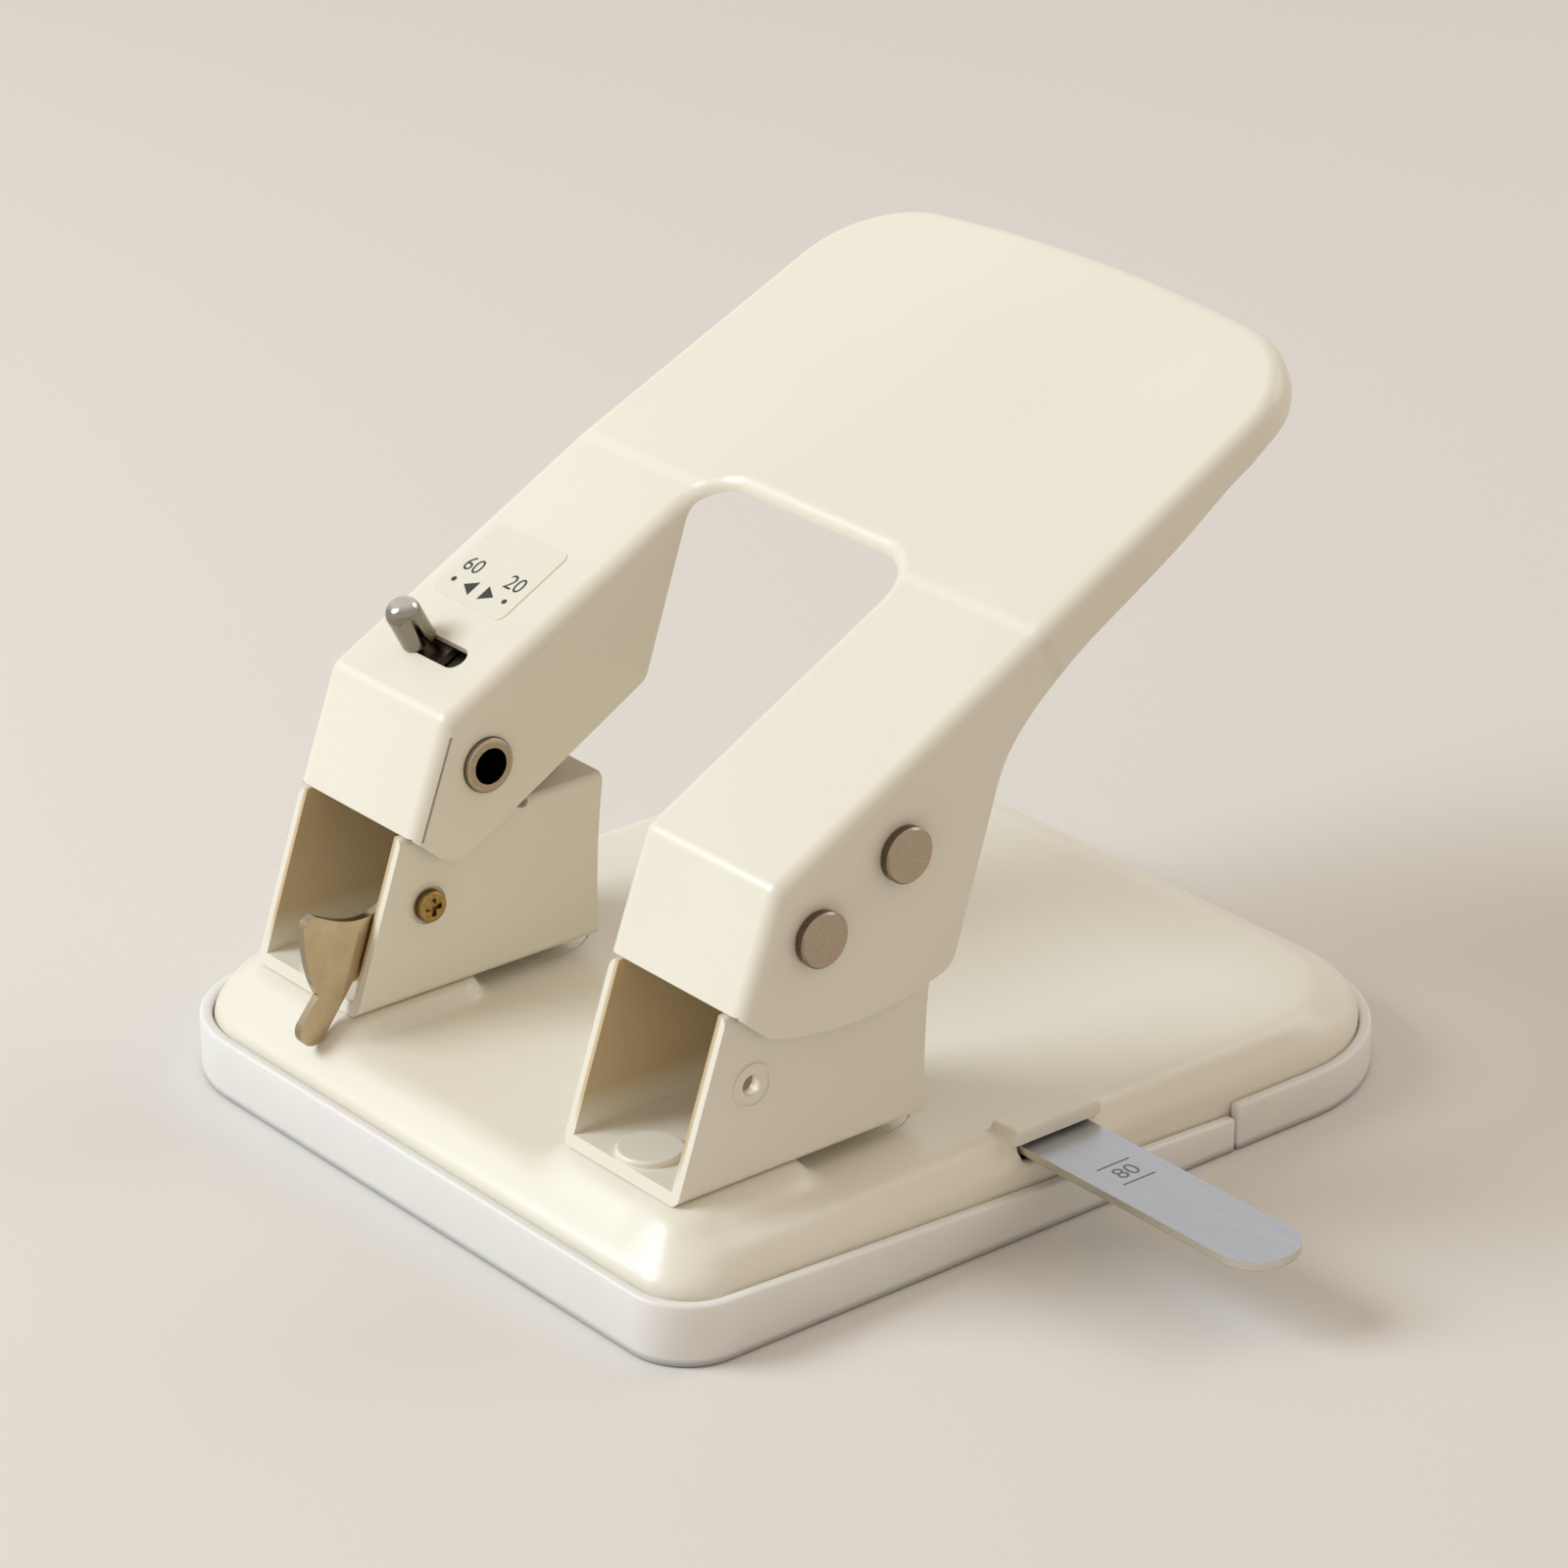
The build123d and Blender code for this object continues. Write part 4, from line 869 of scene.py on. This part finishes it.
def finish_tray_piece(piece, cut_y, keep_front, body, node):
    """Cut the block, round its edges, and let it stand for its CAD part."""
    select_only(piece)
    bpy.ops.object.mode_set(mode="EDIT")
    bpy.ops.mesh.select_all(action="SELECT")
    bpy.ops.mesh.bisect(plane_co=(0, cut_y, 0), plane_no=(0, 1, 0), use_fill=True,
                        clear_outer=keep_front, clear_inner=not keep_front)
    bpy.ops.mesh.select_all(action="SELECT")
    bpy.ops.mesh.normals_make_consistent(inside=False)
    bpy.ops.object.mode_set(mode="OBJECT")
    edges = piece.modifiers.new("edges", "BEVEL")
    edges.width = EDGE_ROUND
    edges.segments = EDGE_SEGMENTS
    edges.limit_method = "ANGLE"
    edges.angle_limit = EDGE_ANGLE
    bpy.ops.object.modifier_apply(modifier="edges")
    bpy.ops.object.shade_smooth_by_angle(angle=TRAY_CREASE)
    paint(piece, soft_tray)
    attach(piece, body)
    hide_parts(node)
    print(piece.name, "size in mm", [round(side / MM, 1) for side in piece.dimensions])


tray_length = TRAY_HIGH.y - TRAY_LOW.y
fall = (TRAY_HIGH.z - RIM_REAR_HEIGHT) / tray_length
for vertex in tray_piece.data.vertices:
    if vertex.co.z > TRAY_HIGH.z - MM:
        vertex.co.z -= fall * min(vertex.co.y - TRAY_LOW.y, tray_length + FALL_PAST)
finish_tray_piece(tray_piece, TRAY_HIGH.y, True, "base", "chip_tray")
finish_tray_piece(flap_piece, FLAP_LOW.y, False, "chip_flap", "chip_flap")

# %% [markdown]
# ## The label's plane
#
# The label lies on the left arm, which leans back by 28 degrees. Film and marks are laid out flat
# first and then turned into that plane. All places on the label are in millimetres from the middle
# of the CAD label.

# %% Label plane
ARM_SLOPE = radians(28)
FILM_THICKNESS = 0.15 * MM
INK_THICKNESS = 0.04 * MM

label_low, label_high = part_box("selector_label")
label_centre = (label_low + label_high) / 2
label_up = Vector((0, -sin(ARM_SLOPE), cos(ARM_SLOPE)))
label_rear = Vector((0, cos(ARM_SLOPE), sin(ARM_SLOPE)))
label_turn = Matrix((
    (1, label_rear.x, label_up.x, 0),
    (0, label_rear.y, label_up.y, 0),
    (0, label_rear.z, label_up.z, 0),
    (0, 0, 0, 1),
))


def lay_on_label(piece, across, rearward):
    """Turn a flat wafer into the label's plane and lay it on the film's top."""
    at = label_centre + Vector((1, 0, 0)) * across * MM + label_rear * rearward * MM
    at += label_up * FILM_THICKNESS / 2
    piece.matrix_world = Matrix.Translation(at) @ label_turn @ piece.matrix_world
    return settle(piece)


print("label centre in mm", [round(v / MM, 1) for v in label_centre])

# %% [markdown]
# ## Film and marks
#
# The film is a rectangle with rounded corners. It carries two dots, two small arrowheads and two
# plain numbers. They are flat ink, so each is a thin wafer that stands a few hundredths of a
# millimetre off the film. The arrowheads and dots start as circles with three and many sides, and
# the numbers start as text that becomes a mesh.

# %% Label film and marks
FILM_WIDTH, FILM_DEPTH, FILM_CORNER = 18.5 * MM, 16 * MM, 1.5 * MM
FILM_CORNER_SEGMENTS = 6
DOT_SIDES, DOT_RADIUS = 20, 0.5
ARROW_RADIUS = 1.75
LABEL_NUMBER_SIZE = 4.2
TEXT_SMOOTHNESS = 4


def ink_wafer(name, sides, radius, turn=0):
    """A thin disc, or a triangle with three sides, pulled up from a flat circle."""
    bpy.ops.object.select_all(action="DESELECT")
    bpy.ops.mesh.primitive_circle_add(vertices=sides, radius=radius * MM, fill_type="NGON",
                                      rotation=(0, 0, turn))
    piece = bpy.context.object
    piece.name = name
    settle(piece)
    pull_up(piece, INK_THICKNESS)
    paint(piece, ink)
    return piece


def number_wafer(name, text, size):
    """A plain number as a thin wafer of ink."""
    bpy.ops.object.select_all(action="DESELECT")
    bpy.ops.object.text_add()
    piece = bpy.context.object
    piece.name = name
    piece.data.body = text
    piece.data.size = size * MM
    piece.data.align_x = "CENTER"
    piece.data.align_y = "CENTER"
    piece.data.extrude = INK_THICKNESS / 2
    piece.data.resolution_u = TEXT_SMOOTHNESS
    select_only(piece)
    bpy.ops.object.convert(target="MESH")
    piece = bpy.context.object
    paint(piece, ink)
    return piece


film_piece = flat_plate("selector_label_film", FILM_WIDTH, FILM_DEPTH)
bpy.ops.object.mode_set(mode="EDIT")
bpy.ops.mesh.select_mode(type="VERT")
bpy.ops.mesh.select_all(action="SELECT")
bpy.ops.mesh.bevel(offset=FILM_CORNER, affect="VERTICES", segments=FILM_CORNER_SEGMENTS, profile=0.5)
bpy.ops.object.mode_set(mode="OBJECT")
pull_up(film_piece, -FILM_THICKNESS)
paint(film_piece, film)
lay_on_label(film_piece, -3.0, 3.0)
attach(film_piece, "handle")
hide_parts("selector_label")

label_marks = [
    lay_on_label(ink_wafer("label_dot_left", DOT_SIDES, DOT_RADIUS), -9.5, -1.7),
    lay_on_label(ink_wafer("label_dot_right", DOT_SIDES, DOT_RADIUS), 3.5, -1.5),
    lay_on_label(ink_wafer("label_arrow_left", 3, ARROW_RADIUS, radians(90)), -5.0, -1.8),
    lay_on_label(ink_wafer("label_arrow_right", 3, ARROW_RADIUS, radians(-90)), -0.9, -1.7),
    lay_on_label(number_wafer("label_number_left", "60", LABEL_NUMBER_SIZE), -8.4, 1.9),
    lay_on_label(number_wafer("label_number_right", "20", LABEL_NUMBER_SIZE), 2.3, 2.0),
]
for mark in label_marks:
    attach(mark, "handle")
print("label marks", [mark.name for mark in label_marks])

# %% [markdown]
# ## Stamped marks on the gauge
#
# The gauge bar carries a small stamp near the base. A stamp leaves shallow strokes that look darker
# with shade lying in them. Here it is a plain number between two short lines, as thin wafers that
# stand a hundredth or two off the bar and ride with it, and their darker grey is painted shade for
# those grooves. The number reads from the right-hand side.

# %% Gauge stamp
GAUGE_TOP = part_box("gauge_bar")[1].z
STAMP_X, FRONT_LINE_X, REAR_LINE_X = 80.6, 77.6, 83.4
STAMP_NUMBER_SIZE = 4.4
LINE_LENGTH, LINE_WIDTH = 6.4, 0.35

stamp_shade, tree, shader, place = new_finish("stamped_stroke")
# The strokes' darker grey is painted shade for stamped grooves, which stand here as raised wafers; their
# dull, gritty finish is the struck metal's own.
shader.inputs["Base Color"].default_value = hex_colour("#77777A")
shader.inputs["Metallic"].default_value = 1.0
shader.inputs["Roughness"].default_value = 0.5
grit = add_noise(tree, place, per_mm(0.3), 2)
tree.links.new(add_bump(tree, grit.outputs["Fac"], 0.3, 0.05 * MM), shader.inputs["Normal"])


def lay_on_gauge(piece, x):
    """Turn a flat wafer to read from the right and lay it on the bar, x millimetres out."""
    turn = Matrix.Rotation(radians(90), 4, "Z")
    piece.matrix_world = Matrix.Translation((x * MM, GAUGE_Y, GAUGE_TOP)) @ turn @ piece.matrix_world
    settle(piece)
    paint(piece, stamp_shade)
    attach(piece, "paper_gauge")
    return piece.name


def stroke(name):
    """A short straight stroke, as a flat wafer along X."""
    return pull_up(flat_plate(name, LINE_LENGTH * MM, LINE_WIDTH * MM), INK_THICKNESS / 2)


stamp = [
    lay_on_gauge(number_wafer("gauge_stamp_number", "80", STAMP_NUMBER_SIZE), STAMP_X),
    lay_on_gauge(stroke("gauge_stamp_line_front"), FRONT_LINE_X),
    lay_on_gauge(stroke("gauge_stamp_line_rear"), REAR_LINE_X),
]
print("gauge stamp", stamp)

# %% [markdown]
# ## The table top
#
# The punch stands on a plain pale floor, which is a stage and no part of the object. It is large
# enough to fill the view, so the picture has no horizon.

# %% Floor
FLOOR_SIZE = 12

bpy.ops.object.select_all(action="DESELECT")
bpy.ops.mesh.primitive_plane_add(size=FLOOR_SIZE)
floor = bpy.context.object
floor.name = "pale_floor"
floor_paint, tree, shader, place = new_finish("pale_studio_floor")
shader.inputs["Base Color"].default_value = hex_colour("#E1DED9")
shader.inputs["Roughness"].default_value = 0.8
shader.inputs["Specular IOR Level"].default_value = 0.2
floor.data.materials.append(floor_paint)
print("floor", floor.name, "is", FLOOR_SIZE, "m wide")
